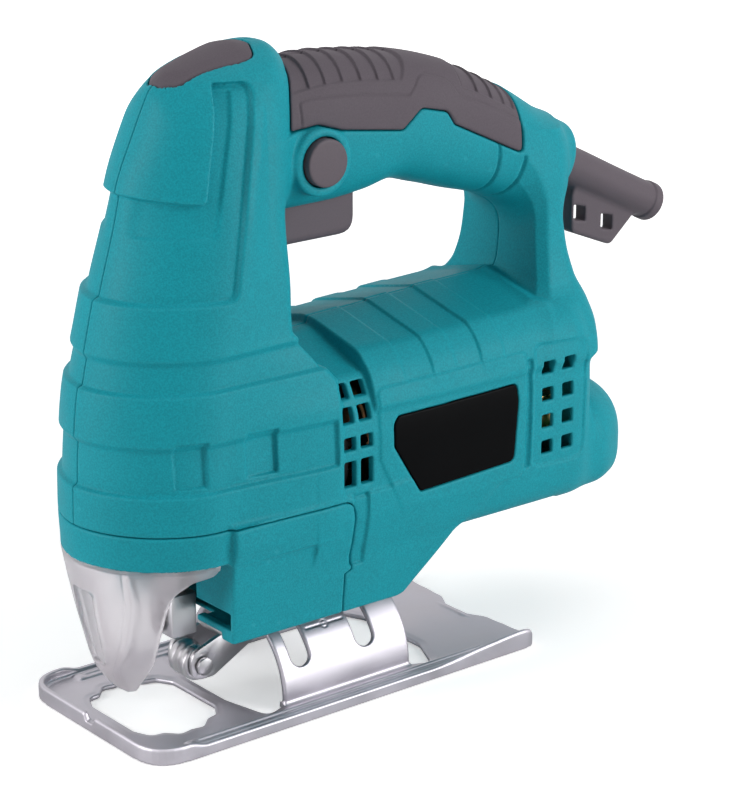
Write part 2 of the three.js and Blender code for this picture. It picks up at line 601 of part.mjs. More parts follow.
// ---------------------------------------------------------------- shoe
const SHOE_HALF = SHOE_WIDTH / 2;
const tailNotch = [[0, -11, 4], [-3.2, -5, 3], [-3.2, 5, 3], [0, 11, 4]];
const shoeOutline = rounded([
  [0, -SHOE_HALF, 12], [SHOE_LENGTH, -SHOE_HALF, 5],
  ...tailNotch.map(([x, y, r]) => [SHOE_LENGTH - 1.2 + x, y, r]),
  [SHOE_LENGTH, SHOE_HALF, 5], [0, SHOE_HALF, 12],
]);
const bladeOpening = rounded([
  [11, -16.5, 2], [15, -17, 2], [18.5, -20.8, 2], [22.5, -20, 2], [26.5, -20.8, 2], [30.5, -17, 2],
  [34.5, -16, 2], [37.4, -11, 2], [37.4, 11, 2], [34.5, 16, 2], [30.5, 17, 2], [26.5, 20.8, 2],
  [22.5, 20, 2], [18.5, 20.8, 2], [15, 17, 2], [11, 16.5, 2], [8.6, 11, 2], [8.6, -11, 2],
], 2);
const archOpening = rounded([
  [42.4, -10, 4], [46, -ARCH_RADIUS - 1.6, 3], [ARCH_FRONT - 0.5, -ARCH_RADIUS + 1, 2],
  [ARCH_REAR + 1, -ARCH_RADIUS + 1, 2], [108.5, -ARCH_RADIUS - 2, 3], [114.5, -14, 5],
  [114.5, 14, 5], [108.5, ARCH_RADIUS + 2, 3], [ARCH_REAR + 1, ARCH_RADIUS - 1, 2],
  [ARCH_FRONT - 0.5, ARCH_RADIUS - 1, 2], [46, ARCH_RADIUS + 1.6, 3], [42.4, 10, 4],
], 3);

function shoePlate() {
  const plate = prism(shoeOutline, 'z', 0, PLATE, [bladeOpening, archOpening]);
  const rimBand = prism(shoeOutline, 'z', 0, RIM_TAIL + 1)
    .subtract(prism(offset(shoeOutline, -RIM_WALL), 'z', -1, 20));
  const rimProfile = prism([
    [-1, -1], [SHOE_LENGTH - 6, -1], [SHOE_LENGTH - 2, RIM_TAIL - 3], [SHOE_LENGTH - 4, RIM_TAIL - 0.6],
    [SHOE_LENGTH - 8, RIM_TAIL], [SHOE_LENGTH - 22, RIM_TAIL - 1], [SHOE_LENGTH - 44, RIM_SIDE],
    [19, RIM_SIDE], [14, RIM_FRONT], [-1, RIM_FRONT],
  ], 'y', -50, 50);
  const sight = block([-2, -1.8, PLATE + 0.6], [RIM_WALL + 1, 1.8, 12]);
  const rim = rimBand.intersect(rimProfile).subtract(block([SHOE_LENGTH - 6.5, -30, -1],
    [SHOE_LENGTH + 5, 30, 20]))
    .subtract(sight);
  const rib = (y) => prism(rounded([
    [15, y - 0.8, 0.5], [SHOE_LENGTH - 18, y - 0.8, 0.5], [SHOE_LENGTH - 18, y + 0.8, 0.5],
    [15, y + 0.8, 0.5]], 2), 'z', PLATE - 0.5, PLATE + 0.7);
  const ribs = unite([-1, 1].flatMap((side) =>
    [rib(side * (SHOE_HALF - 3.8)), rib(side * (SHOE_HALF - 6.4))]));
  const archLow = PLATE - 0.6;
  const archOuter = rod(ARCH_RADIUS, ARCH_REAR - ARCH_FRONT, 'x', [ARCH_FRONT, 0, TILT_Z], 48);
  const archInner = rod(ARCH_RADIUS - PLATE, ARCH_REAR - ARCH_FRONT + 4, 'x',
    [ARCH_FRONT - 2, 0, TILT_Z], 48);
  // Clearance slot for a shoe screw: a stretch of the arch's round with rounded ends.
  const slot = (x) => {
    const reach = THREE.MathUtils.degToRad(ARCH_SLOT_ANGLE);
    const side = (sign) => [sign * 60 * Math.sin(reach), TILT_Z + 60 * Math.cos(reach)];
    const wedge = prism([[0, TILT_Z], side(1), side(-1)], 'x', x - ARCH_SLOT_WIDTH / 2,
      x + ARCH_SLOT_WIDTH / 2);
    const ends = [-1, 1].map((sign) => rod(ARCH_SLOT_WIDTH / 2 - 0.02, 12, 'z', [0, 0, 18], 18)
      .rotate([-sign * (ARCH_SLOT_ANGLE - 1), 0, 0]).translate([x, 0, TILT_Z]));
    return unite(wedge, ends);
  };
  const arch = archOuter.subtract(archInner).intersect(block([0, -50, archLow], [200, 50, 60]));
  const base = (s) => block([ARCH_FRONT, s > 0 ? ARCH_RADIUS - 3 : -ARCH_RADIUS - 0.5, 0.3],
    [ARCH_REAR, s > 0 ? ARCH_RADIUS + 0.5 : -ARCH_RADIUS + 3, PLATE]);
  return unite(plate, rim, ribs, arch.subtract(unite(ARCH_SLOTS.map(slot))), base(-1), base(1));
}
place('shoe_plate', shoePlate(), 'zinc');

// Rolled clamp plate inside the saddle and the two screws that pull the shoe up against the foot.
const clampOuter = ARCH_RADIUS - PLATE - GAP;
const CLAMP_THICK = 2.6;
const SOCKET_HEAD = { r: 4.2, height: 4, shank: 2.5, top: HOUSING_BASE + 12 };
const clampWedge = prism([[0, TILT_Z], [-30, TILT_Z + 50], [30, TILT_Z + 50]], 'x', 54, 101);
const shoeClamp = rod(clampOuter, 45.5, 'x', [54.5, 0, TILT_Z], 64)
  .subtract(rod(clampOuter - CLAMP_THICK, 60, 'x', [50, 0, TILT_Z], 64))
  .intersect(clampWedge).subtract(shoeScrewHoles);
place('shoe_clamp', shoeClamp, 'steel');
const STRAP = 1.5;
const armInner = ROLLER.width / 2 + GAP;
const armOuter = armInner + STRAP;
const bracketTop = TILT_Z + Math.sqrt((clampOuter - CLAMP_THICK) ** 2 - armOuter ** 2) - GAP;
const headTop = bracketTop - STRAP - GAP;
ARCH_SLOTS.forEach((x, i) => {
  const hex = Array.from({ length: 6 }, (_, k) => polar(2.2, 60 * k));
  const { r, height, shank, top } = SOCKET_HEAD;
  place(`shoe_screw_${i + 1}`, turned(
    [[0, headTop - height], [r, headTop - height], [r, headTop], [shank, headTop], [shank, top], [0, top]],
    'z', [x, 0, 0], 16)
    .subtract(prism(hex, 'z', headTop - height - 1, headTop - 1.4).translate([x, 0, 0])), 'steel');
});

// Forked bracket of the guide roller: a strap under the clamp plate, running down to two arms.
function rollerBracket() {
  const low = bracketTop - STRAP;
  const side = prism(rounded([
    [ROLLER.x - 4, ROLLER.z - 4.4, 4], [ROLLER.x + 4, ROLLER.z - 4.4, 4], [57, low - 3, 2], [62, low, 0],
    [62, bracketTop, 0], [52, bracketTop, 1], [ROLLER.x + 6, bracketTop - 1, 2],
    [ROLLER.x - 4, ROLLER.z + 4.4, 4],
  ], 3), 'y', armInner, armOuter);
  const strap = block([44, -armOuter, low], [92, armOuter, bracketTop]);
  const drop = prism([[44, low], [50, low], [50, bracketTop], [44, bracketTop]], 'y', -armOuter, armOuter);
  const arms = side.add(side.mirror([0, 1, 0]));
  const pin = rod(ROLLER.pin + GAP, 40, 'y', [ROLLER.x, -20, ROLLER.z], 20);
  return unite(arms, strap, drop).subtract(shoeScrewHoles).subtract(pin);
}
place('roller_bracket', rollerBracket(), 'steel');
const onRoller = (profile) => turned(profile, 'y', [ROLLER.x, 0, ROLLER.z], 20);
const pinHead = { r: 2.7, from: armOuter + GAP, to: armOuter + 1.6 };
place('roller_pin', onRoller([[0, -pinHead.to], [pinHead.r, -pinHead.to], [pinHead.r, -pinHead.from],
  [ROLLER.pin, -pinHead.from], [ROLLER.pin, pinHead.from], [pinHead.r, pinHead.from],
    [pinHead.r, pinHead.to],
  [0, pinHead.to]]), 'steel');
const half = ROLLER.width / 2;
const grooveR = ROLLER.r - ROLLER.groove;
place('guide_roller', onRoller([[ROLLER.pin + GAP, -half], [ROLLER.r - 0.5, -half], [ROLLER.r, -half + 0.5],
  [ROLLER.r, -1.5], [grooveR, -0.7], [grooveR, 0.7], [ROLLER.r, 1.5], [ROLLER.r, half - 0.5],
  [ROLLER.r - 0.5, half], [ROLLER.pin + GAP, half]]), 'steel');

// ---------------------------------------------------------------- clear guard
const GUARD = [
  { z: 8.6, nose: 13.4, half: 2.0, reach: 4 },
  { z: 11, nose: 10.6, half: 4.2, reach: 8 },
  { z: 15, nose: 7.4, half: 8.2, reach: 13 },
  { z: 21, nose: 4.2, half: 13.2, reach: 17 },
  { z: 31, nose: 1.6, half: 17.6, reach: 21 },
  { z: 42, nose: -0.6, half: 22.4, reach: 25 },
  { z: 49, nose: -1.4, half: 27.2, reach: 28 },
  { z: 55 - GAP, nose: -1.8, half: 29.6, reach: 30 },
];
const GUARD_WALL = 1.6;
const EAR_X = 27.5;            // how far back the guard's ears reach

function guardForm(inset) {
  return loft(GUARD.map((row, i) => {
    const { z, nose, half: width, reach } = row;
    const steps = 10;
    const side = Array.from({ length: steps + 1 }, (_, k) => {
      const t = (Math.PI / 2) * k / steps;
      return [nose + inset + (reach - inset) * (1 - Math.cos(t) ** 1.05),
        Math.max(0.4, width - inset) * Math.sin(t) ** 1.05];
    });
    side.push([48, Math.max(0.4, width - inset)]);
    const left = side.slice(1).reverse().map(([x, y]) => [x, -y]);
    const lift = i === 0 ? inset : i === GUARD.length - 1 && inset > 0 ? 1 : 0;
    return [...left, ...side].map(([x, y]) => new THREE.Vector3(x, y, z + lift));
  }));
}

function guard() {
  const outline = rounded([
    [-8, 60, 0], [-8, 5, 0], [17, 5, 0], [15.6, 12, 1.5], [15.4, 20, 3], [15.8, 46, 4], [20, 50, 2],
    [EAR_X, 51.2, 2.2], [EAR_X, 60, 0],
  ], 3);
  const windowSlot = prism(rounded([
    [-3.6, 24, 2.6], [3.6, 24, 2.6], [3.6, 45, 2.6], [-3.6, 45, 2.6]], 3), 'x', -10, 12);
  return guardForm(0).subtract(guardForm(GUARD_WALL)).intersect(prism(outline, 'y', -50, 50))
    .subtract(windowSlot);
}
place('guard', guard(), 'clear');

// ------------------------------------------ plunger and blade clamp, at the foot of the stroke
const YOKE_Z = GEAR_Z - STROKE / 2;
const CLAMP_Z = [24.2, 37.4];
const yoke = block([BLADE_X + 3, -15.5, YOKE_Z - 7.5], [GEAR_FRONT - 3.7, 15.5, YOKE_Z + 7.5])
  .subtract(prism(rounded([[-12.4, -3.4, 3.3], [12.4, -3.4, 3.3], [12.4, 3.4, 3.3],
    [-12.4, 3.4, 3.3]]), 'x', 38, 50)
    .translate([0, 0, YOKE_Z]));
place('plunger', unite(rod(PLUNGER_R, 152 - CLAMP_Z[1], 'z', [BLADE_X, 0, CLAMP_Z[1]], 24), yoke), 'steel');
const CLAMP = { front: 26.4, rear: 35.4, half: 6, screws: [27.6, 33], screwR: 1.6 };
function bladeClamp() {
  const { front, rear, half: width, screws: heights, screwR } = CLAMP;
  const body = prism(rounded([
    [front, -width, 1], [rear, -width, 1], [rear, width, 1], [front, width, 1]], 2), 'z', CLAMP_Z[0],
      CLAMP_Z[1] - GAP);
  const bladeSlot = block([BLADE_X - 3.4, -0.9, 20], [rear - 1.6, 0.9, CLAMP_Z[1] - 5]);
  return body.subtract(bladeSlot)
    .subtract(unite(heights.map((z) => rod(screwR + GAP, 6, 'x', [front - 4, 0, z], 12))));
}
place('blade_clamp', bladeClamp(), 'alloy');
CLAMP.screws.forEach((z, i) => {
  const { front, screwR } = CLAMP;
  place(`blade_clamp_screw_${i + 1}`, turned(
    [[0, -1.4], [1.1, -1.4], [1.1, -2.2], [2.6, -2.2], [2.6, -GAP], [screwR, -GAP], [screwR, 1.6],
      [0, 1.6]],
    'x', [front, 0, z], 12), 'steel');
});
place('lower_bush', tube(BUSH_R, PLUNGER_R + GAP, 9.4, 'z', [BLADE_X, 0, 55.8], 20), 'bronze');
place('upper_bush', tube(BUSH_R, PLUNGER_R + GAP, 10, 'z', [BLADE_X, 0, 124.5], 20), 'bronze');

// ---------------------------------------------------------------- gear pair
// Spur gear outline with involute flanks; `backlash` thins each tooth at the pitch circle.
function gearOutline(teeth, backlash, turn = 0) {
  const pitch = MODULE * teeth / 2;
  const base = pitch * Math.cos(THREE.MathUtils.degToRad(20));
  const tip = pitch + 0.85 * MODULE;
  const root = pitch - 1.15 * MODULE;
  const involute = (r) => {
    if (r <= base) return 0;
    const a = Math.acos(base / r);
    return Math.tan(a) - a;
  };
  const halfTooth = Math.PI / (2 * teeth) - backlash / (2 * pitch);
  const points = [];
  for (let i = 0; i < teeth; i += 1) {
    const centre = turn + 2 * Math.PI * i / teeth;
    const flank = teeth > 20 ? [root, tip] : [root, base, mix(base, tip, 0.5), tip];
    const spread = flank.map((r) => halfTooth + involute(pitch) - involute(r));
    flank.forEach((r, k) => points.push([r * Math.cos(centre - spread[k]),
      r * Math.sin(centre - spread[k])]));
    [...flank].reverse().forEach((r, k) => {
      const s = spread[flank.length - 1 - k];
      points.push([r * Math.cos(centre + s), r * Math.sin(centre + s)]);
    });
  }
  return points;
}

const BACKLASH = 0.16;
const gearBlank = prism(gearOutline(GEAR_TEETH, BACKLASH, -Math.PI / 2), 'x', GEAR_FRONT,
  GEAR_FRONT + GEAR_WIDTH);
const hub = rod(9, 12, 'x', [GEAR_FRONT, 0, 0], 28);
const relief = tube(16.5, 10.5, 2.2, 'x', [GEAR_FRONT + GEAR_WIDTH - 2, 0, 0], 32);
place('drive_gear', gearBlank.subtract(relief).add(hub)
  .subtract(rod(SPINDLE_R + GAP, 40, 'x', [GEAR_FRONT - 10, 0, 0], 28))
  .subtract(rod(CRANK_R, 6, 'x', [GEAR_FRONT - 1, 0, -STROKE / 2], 20)).translate([0, 0, GEAR_Z]), 'steel');
place('crank_pin', rod(CRANK_R - GAP, 8.3, 'x', [GEAR_FRONT - 3.3, 0, GEAR_Z - STROKE / 2], 20), 'steel');
place('gear_spindle', rod(SPINDLE_R, 20, 'x', [GEAR_FRONT - 0.5, 0, GEAR_Z], 28), 'steel');

const pinionOutline = gearOutline(PINION_TEETH, BACKLASH, Math.PI / 2 + Math.PI / PINION_TEETH);
const pinion = prism(pinionOutline, 'x', GEAR_FRONT - 1, FRAME_X - 1).translate([0, 0, MOTOR_Z]);
const shaftLength = REAR_BEARING_X + BEARING_WIDTH - FRAME_X + 2;
place('armature_shaft', pinion.add(rod(SHAFT_R, shaftLength, 'x', [FRAME_X - 2, 0, MOTOR_Z], 24)), 'steel');

function frame() {
  const half = 25.5;
  const outline = rounded([[-half, 45, 4], [half, 45, 4], [half, 88, 4], [13, 103, 2], [7, 106, 3],
    [-7, 106, 3], [-13, 103, 2], [-half, 88, 4]], 2);
  return prism(outline, 'x', FRAME_X, FRAME_X + BEARING_WIDTH)
    .subtract(rod(BEARING_R + GAP, 20, 'x', [FRAME_X - 5, 0, MOTOR_Z], 36))
    .subtract(rod(SPINDLE_R + GAP, 20, 'x', [FRAME_X - 5, 0, GEAR_Z], 28));
}
place('gearbox_frame', frame(), 'alloy');

// ---------------------------------------------------------------- motor
const onShaft = (profile, segments = 24) => turned(profile, 'x', [0, 0, MOTOR_Z], segments);
const sleeveOnShaft = (inner, outer, from, to, segments = 24) =>
  onShaft([[inner, from], [outer, from], [outer, to], [inner, to]], segments);
const bore = SHAFT_R + GAP;
for (const [name, from] of [['front_bearing', FRAME_X], ['rear_bearing', REAR_BEARING_X]]) {
  place(name, sleeveOnShaft(bore, BEARING_R, from, from + BEARING_WIDTH), 'steel');
}

const FAN_X = 74.6;
const FAN_R = 26;
function fan() {
  const blades = Array.from({ length: 9 }, (_, i) =>
    block([FAN_X + 1.5, -0.8, 10], [FAN_X + 10, 0.8, FAN_R]).rotate([40 * i, 0, 0])
      .translate([0, 0, MOTOR_Z]));
  const disc = onShaft([[bore, FAN_X], [FAN_R + 0.5, FAN_X], [FAN_R + 0.5, FAN_X + 2], [9, FAN_X + 2.5],
    [9, FAN_X + 11], [bore, FAN_X + 11]], 32);
  return unite(disc, blades);
}
place('fan', fan(), 'moulding');
place('field_core', sleeveOnShaft(FIELD_BORE, FIELD_R, ...FIELD_X, 32), 'steel');
const COIL = { inner: 17, outer: 23, length: 8 };
for (const [name, from] of [['field_coil_front', FIELD_X[0] - GAP - COIL.length],
  ['field_coil_rear', FIELD_X[1] + GAP]]) {
  const { inner, outer, length } = COIL;
  place(name, onShaft([[inner, from + 1], [inner + 1, from], [outer - 1, from], [outer, from + 1],
    [outer, from + length - 1], [outer - 1, from + length], [inner + 1, from + length],
    [inner, from + length - 1]]), 'copper');
}
const ROTOR_R = FIELD_BORE - 0.8;
const ROTOR_X = [FIELD_X[0] + 1, FIELD_X[1] - 1];
const WINDING_R = 13.2;
place('armature_core', sleeveOnShaft(bore, ROTOR_R, ...ROTOR_X, 28), 'steel');
place('winding_front', onShaft([[bore, ROTOR_X[0] - 8], [10, ROTOR_X[0] - 8], [WINDING_R, ROTOR_X[0] - 5],
  [WINDING_R, ROTOR_X[0] - GAP], [bore, ROTOR_X[0] - GAP]]), 'copper');
place('winding_rear', onShaft([[bore, ROTOR_X[1] + GAP], [WINDING_R, ROTOR_X[1] + GAP],
  [WINDING_R, ROTOR_X[1] + 6], [11, ROTOR_X[1] + 10], [bore, ROTOR_X[1] + 10]]), 'copper');
place('commutator', sleeveOnShaft(bore, COMMUTATOR_R, ...COMMUTATOR_X), 'copper');
const BRUSH_X = (COMMUTATOR_X[0] + COMMUTATOR_X[1]) / 2;
for (const [name, s] of [['left', -1], ['right', 1]]) {
  const box = (u, w) => {
    const ends = [s * u[0], s * u[1]].sort((a, b) => a - b);
    return block([BRUSH_X - w[0], ends[0], MOTOR_Z - w[1]], [BRUSH_X + w[0], ends[1], MOTOR_Z + w[1]]);
  };
  place(`carbon_brush_${name}`, box([COMMUTATOR_R + GAP, 24], [3, 4]), 'carbon');
  place(`brush_holder_${name}`, box([14, 30.4], [4.6, 5.6]).subtract(box([10, 25], [3.3, 4.3])), 'brass');
}

// ---------------------------------------------------------------- handle controls
function trigger() {
  const profile = rounded([[62.6, 137.2, 1.5], [94.4, 137.2, 5], [94.4, 156, 2], [90, 158.6, 2],
    [62.6, 158.6, 2]], 4);
  return prism(profile, 'y', -7.6, 7.6)
    .subtract(rod(TRIGGER_PIN + GAP, 30, 'y', [TRIGGER_PIVOT[0], -15, TRIGGER_PIVOT[1]], 16));
}
place('trigger', trigger(), 'rubber');
place('trigger_pin', rod(TRIGGER_PIN, 22, 'y', [TRIGGER_PIVOT[0], -11, TRIGGER_PIVOT[1]], 16), 'steel');
place('switch_body', block(SWITCH.low, SWITCH.high), 'moulding');
const lip = BUTTON.r + 0.2;
place('lock_button', turned([[0, -11.8], [2.6, -11.8], [2.6, -15.6], [lip, -15.6], [lip, -17],
  [BUTTON.r, -17], [BUTTON.r, -21.6], [BUTTON.r - 0.6, -22.2], [0, -22.2]],
'y', [BUTTON.x, 0, BUTTON.z], 20), 'rubber');

// ---------------------------------------------------------------- cord sleeve with its hanging tab
function sleeve() {
  const { r, length, flange } = SLEEVE;
  const body = turned([[0, -18.6], [8.4, -18.6], [8.4, -15], [r, -15], [r, length - 4],
    [flange, length - 3.4], [flange, length - 1.4], [flange - 0.9, length], [3.6, length],
    [3.4, length - 12], [0, length - 12]], 'z', [0, 0, 0], 20);
  const tab = prism(rounded([[186.6, 121, 2], [204, 114, 2.5], [216.6, 124.8, 1], [213, 129, 0],
    [188.4, 138.6, 0], [186.4, 133, 1]]), 'y', -2.5, 2.5);
  const eyes = unite([[191.2, 126.4], [203.2, 121.6]].map(([x, z]) =>
    prism([[x - 2.4, z - 1.8], [x + 2.4, z - 3], [x + 2.4, z + 1.8], [x - 2.4, z + 3]], 'y', -6, 6)));
  return sleeveTurn(body).add(tab.subtract(eyes));
}
place('cord_sleeve', sleeve(), 'rubber');

// ------------------------------------------ place the tool over the middle of its footprint
const bounds = new THREE.Box3().setFromObject(tool);
const middle = bounds.getCenter(new THREE.Vector3());
tool.position.set(-middle.x, -middle.y, -bounds.min.z);

export default tool;
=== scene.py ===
"""Corded jigsaw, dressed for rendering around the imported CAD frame.

The moulded and pressed pieces are shaped as distance fields in millimetres: x runs back from the
shoe's front edge, y = 0 is the parting plane of the clamshell, and z = 0 is the sole. A field is
negative inside its piece. Each field becomes a mesh by the surface nets method, and its points are
then moved onto the surface.
"""
import json
import math
from concurrent.futures import ThreadPoolExecutor
from functools import reduce

import bpy
import numpy as np
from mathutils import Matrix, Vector


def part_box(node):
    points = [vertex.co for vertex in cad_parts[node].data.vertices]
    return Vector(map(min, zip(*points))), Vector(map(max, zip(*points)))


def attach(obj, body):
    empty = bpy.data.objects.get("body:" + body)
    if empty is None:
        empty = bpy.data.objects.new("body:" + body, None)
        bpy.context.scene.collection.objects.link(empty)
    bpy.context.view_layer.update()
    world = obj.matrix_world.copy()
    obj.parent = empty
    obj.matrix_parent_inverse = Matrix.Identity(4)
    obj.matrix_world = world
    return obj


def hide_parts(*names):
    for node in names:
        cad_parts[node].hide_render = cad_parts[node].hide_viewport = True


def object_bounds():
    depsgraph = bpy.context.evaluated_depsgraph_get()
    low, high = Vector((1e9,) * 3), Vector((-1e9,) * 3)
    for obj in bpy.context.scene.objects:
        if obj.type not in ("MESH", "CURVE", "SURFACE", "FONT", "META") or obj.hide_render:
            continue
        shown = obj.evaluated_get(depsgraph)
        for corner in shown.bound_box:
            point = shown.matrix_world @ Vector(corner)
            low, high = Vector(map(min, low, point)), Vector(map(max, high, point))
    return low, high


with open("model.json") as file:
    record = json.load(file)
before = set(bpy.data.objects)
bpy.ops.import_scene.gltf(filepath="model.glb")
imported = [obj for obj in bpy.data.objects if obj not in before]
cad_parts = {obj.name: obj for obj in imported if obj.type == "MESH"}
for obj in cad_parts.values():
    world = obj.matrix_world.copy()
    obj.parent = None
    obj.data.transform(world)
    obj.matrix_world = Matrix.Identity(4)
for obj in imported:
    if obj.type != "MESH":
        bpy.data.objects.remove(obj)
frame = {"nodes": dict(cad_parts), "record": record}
CAD_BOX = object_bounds()
NODES = frame["nodes"]
MM = 0.001
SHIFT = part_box("shoe_plate")[0].x      # the shoe's front edge, which is x = 0 in the fields

# ---------------- driving dimensions, millimetres
WALL = 2.6
NOSE_WALL = 4.4                # the nose carries the deeper relief
GAP = 0.3
HALF_SEAM = 0.12               # half of the parting gap between the two halves
SKIN = 2.0                     # thickness of the soft grip and of the cap
HOUSING_BASE = 28.6
MOTOR_Z = 75.0
BLADE_X = 31.0
PLUNGER_HOLE = 7.8
TILT_Z = 3.0
BAND_DEPTH = 1.5
SHOE_LENGTH = 146.0
SHOE_HALF = 35.0
PLATE = 2.0
ARCH_RADIUS = 25.0
ARCH = (53.5, 101.5)
ARCH_SLOTS = (61.5, 86.0)
SCREWS = [(43, 176), (113, 168), (163.6, 121), (158, 51), (104, 46), (12.5, 99)]
SCREW_SEAT = 11.0
BUTTON = {"x": 73.0, "z": 164.0, "r": 7.0, "hole": 7.5, "bezel": 10.2}
SLEEVE = {"x": 190.0, "z": 141.1, "angle": 26.0, "r": 6.2, "length": 37.0}
TRIGGER_PIN = {"x": 66.5, "z": 155.0, "r": 1.8}
MOULD_STEP = 0.55
FINE_STEP = 0.4
GRID_SHIFT = 0.413             # share of a step that keeps flat faces off the planes of the grid
SLOPE_REACH = 0.05             # how far round a point the slope of its field is read
BATCH = 12000                  # points that are settled at a time


# ---------------- distance field tools
def blend_max(a, b, r):
    """Larger of two fields, rounded over r where they meet."""
    h = np.clip(0.5 + 0.5 * (a - b) / r, 0.0, 1.0)
    return b + (a - b) * h + r * h * (1.0 - h)


def blend_min(a, b, r):
    return -blend_max(-a, -b, r)


def ramp_up(low, high, q):
    """Straight ramp from 0 to 1, for crisp sloped edges."""
    return np.clip((q - low) / (high - low), 0.0, 1.0)


def smooth(low, high, q):
    t = np.clip((q - low) / (high - low), 0.0, 1.0)
    return t * t * (3.0 - 2.0 * t)


def curve(stations, values, q):
    """Monotone cubic through the stations, level beyond the ends."""
    s = np.asarray(stations, float)
    v = np.asarray(values, float)
    h = np.diff(s)
    d = np.diff(v) / h
    m = np.zeros(len(s))
    for i in range(1, len(s) - 1):
        if d[i - 1] * d[i] > 0:
            m[i] = 2.0 * d[i - 1] * d[i] / (d[i - 1] + d[i])
    i = np.clip(np.searchsorted(s, q) - 1, 0, len(s) - 2)
    t = np.clip((q - s[i]) / h[i], 0.0, 1.0)
    a = v[i] * (1 + 2 * t) * (1 - t) ** 2 + v[i + 1] * t * t * (3 - 2 * t)
    out = a + h[i] * (m[i] * t * (1 - t) ** 2 - m[i + 1] * t * t * (1 - t))
    return out.astype(np.asarray(q).dtype)


def columns(table, q):
    """Every column after the first, as a smooth function of the first."""
    rows = list(zip(*table))
    return [curve(rows[0], row, q) for row in rows[1:]]


def oval(a, b, n, reach_a, reach_b):
    """Near-distance to |a/ra|^n + |b/rb|^n = 1, where a and b are not negative."""
    u = a / reach_a
    v = b / reach_b
    g = (u ** n + v ** n + 1e-9) ** (1.0 / n)
    slope = np.hypot((u / g) ** (n - 1.0) / reach_a, (v / g) ** (n - 1.0) / reach_b)
    return (g - 1.0) / np.maximum(slope, 1e-3)


def rounded(points, steps=5):
    """Outline with its corners rounded; each point is (u, v, radius)."""
    out = []
    n = len(points)
    for i, (u, v, r) in enumerate(points):
        p = np.array([u, v], float)
        if not r:
            out.append(p)
            continue
        a = np.array(points[i - 1][:2], float) - p
        b = np.array(points[(i + 1) % n][:2], float) - p
        la, lb = np.linalg.norm(a), np.linalg.norm(b)
        half = math.acos(np.clip(a @ b / (la * lb), -1, 1)) / 2
        reach = min(r / math.tan(half), 0.49 * la, 0.49 * lb)
        start, end = p + a / la * reach, p + b / lb * reach
        for k in range(steps + 1):
            t = k / steps
            out.append(start * (1 - t) ** 2 + p * 2 * t * (1 - t) + end * t * t)
    return [(float(q[0]), float(q[1])) for q in out]


def both_sides(half):
    """Closed outline from one half and its mirror image in v."""
    return rounded(half + [(u, -v, r) for u, v, r in reversed(half)])


def polygon(points, u, v):
    """Signed distance to a closed outline in the plane of u and v."""
    best = None
    sign = None
    n = len(points)
    for i in range(n):
        (ax, ay), (bx, by) = points[i], points[(i + 1) % n]
        ex, ey = bx - ax, by - ay
        wx, wy = u - ax, v - ay
        t = np.clip((wx * ex + wy * ey) / (ex * ex + ey * ey), 0.0, 1.0)
        d = (wx - ex * t) ** 2 + (wy - ey * t) ** 2
        best = d if best is None else np.minimum(best, d)
        if ay != by:
            crosses = ((ay > v) != (by > v)) & (u < ex * (v - ay) / ey + ax)
            sign = crosses if sign is None else sign ^ crosses
    return np.where(sign, -1.0, 1.0) * np.sqrt(best)


def join(*fields):
    return reduce(np.minimum, fields)


def slab(u, low, high):
    return np.maximum(low - u, u - high)


def round_corner(du, dv, r):
    """Distance to a corner of radius r, from the distances past the centre of its round."""
    return np.hypot(np.maximum(du, 0), np.maximum(dv, 0)) + np.minimum(np.maximum(du, dv), 0) - r


def rectangle(u, v, span_u, span_v, r=0.4):
    """Signed distance to a rectangle with rounded corners, from its span each way."""
    du = np.abs(u - sum(span_u) / 2) - (span_u[1] - span_u[0]) / 2 + r
    dv = np.abs(v - sum(span_v) / 2) - (span_v[1] - span_v[0]) / 2 + r
    return round_corner(du, dv, r)


def block(x, y, z, span_x, half, span_z):
    """Box across the parting plane, from its spans in x and z and its half width."""
    return np.maximum(np.maximum(slab(x, *span_x), np.abs(y) - half), slab(z, *span_z))


def upright(x, y, z, place, r, low, high):
    """Upright cylinder on the parting plane."""
    return np.maximum(np.hypot(x - place, y) - r, slab(z, low, high))


# ---------------- fields to meshes
CORNERS = [(i, j, k) for i in (0, 1) for j in (0, 1) for k in (0, 1)]
EDGES = [(a, b) for a in range(8) for b in range(a + 1, 8)
         if sum(abs(p - q) for p, q in zip(CORNERS[a], CORNERS[b])) == 1]


def sample(field, axes):
    """Field values on a grid, worked out in slabs side by side."""
    x, y, z = (a.astype(np.float32) for a in axes)
    cuts = np.array_split(np.arange(len(x)), max(1, len(x) // 2))

    def part(rows):
        value = field(x[rows][:, None, None], y[None, :, None], z[None, None, :])
        return np.broadcast_to(value, (len(rows), len(y), len(z))).astype(np.float32)

    with ThreadPoolExecutor(4) as pool:
        return np.concatenate(list(pool.map(part, cuts)))


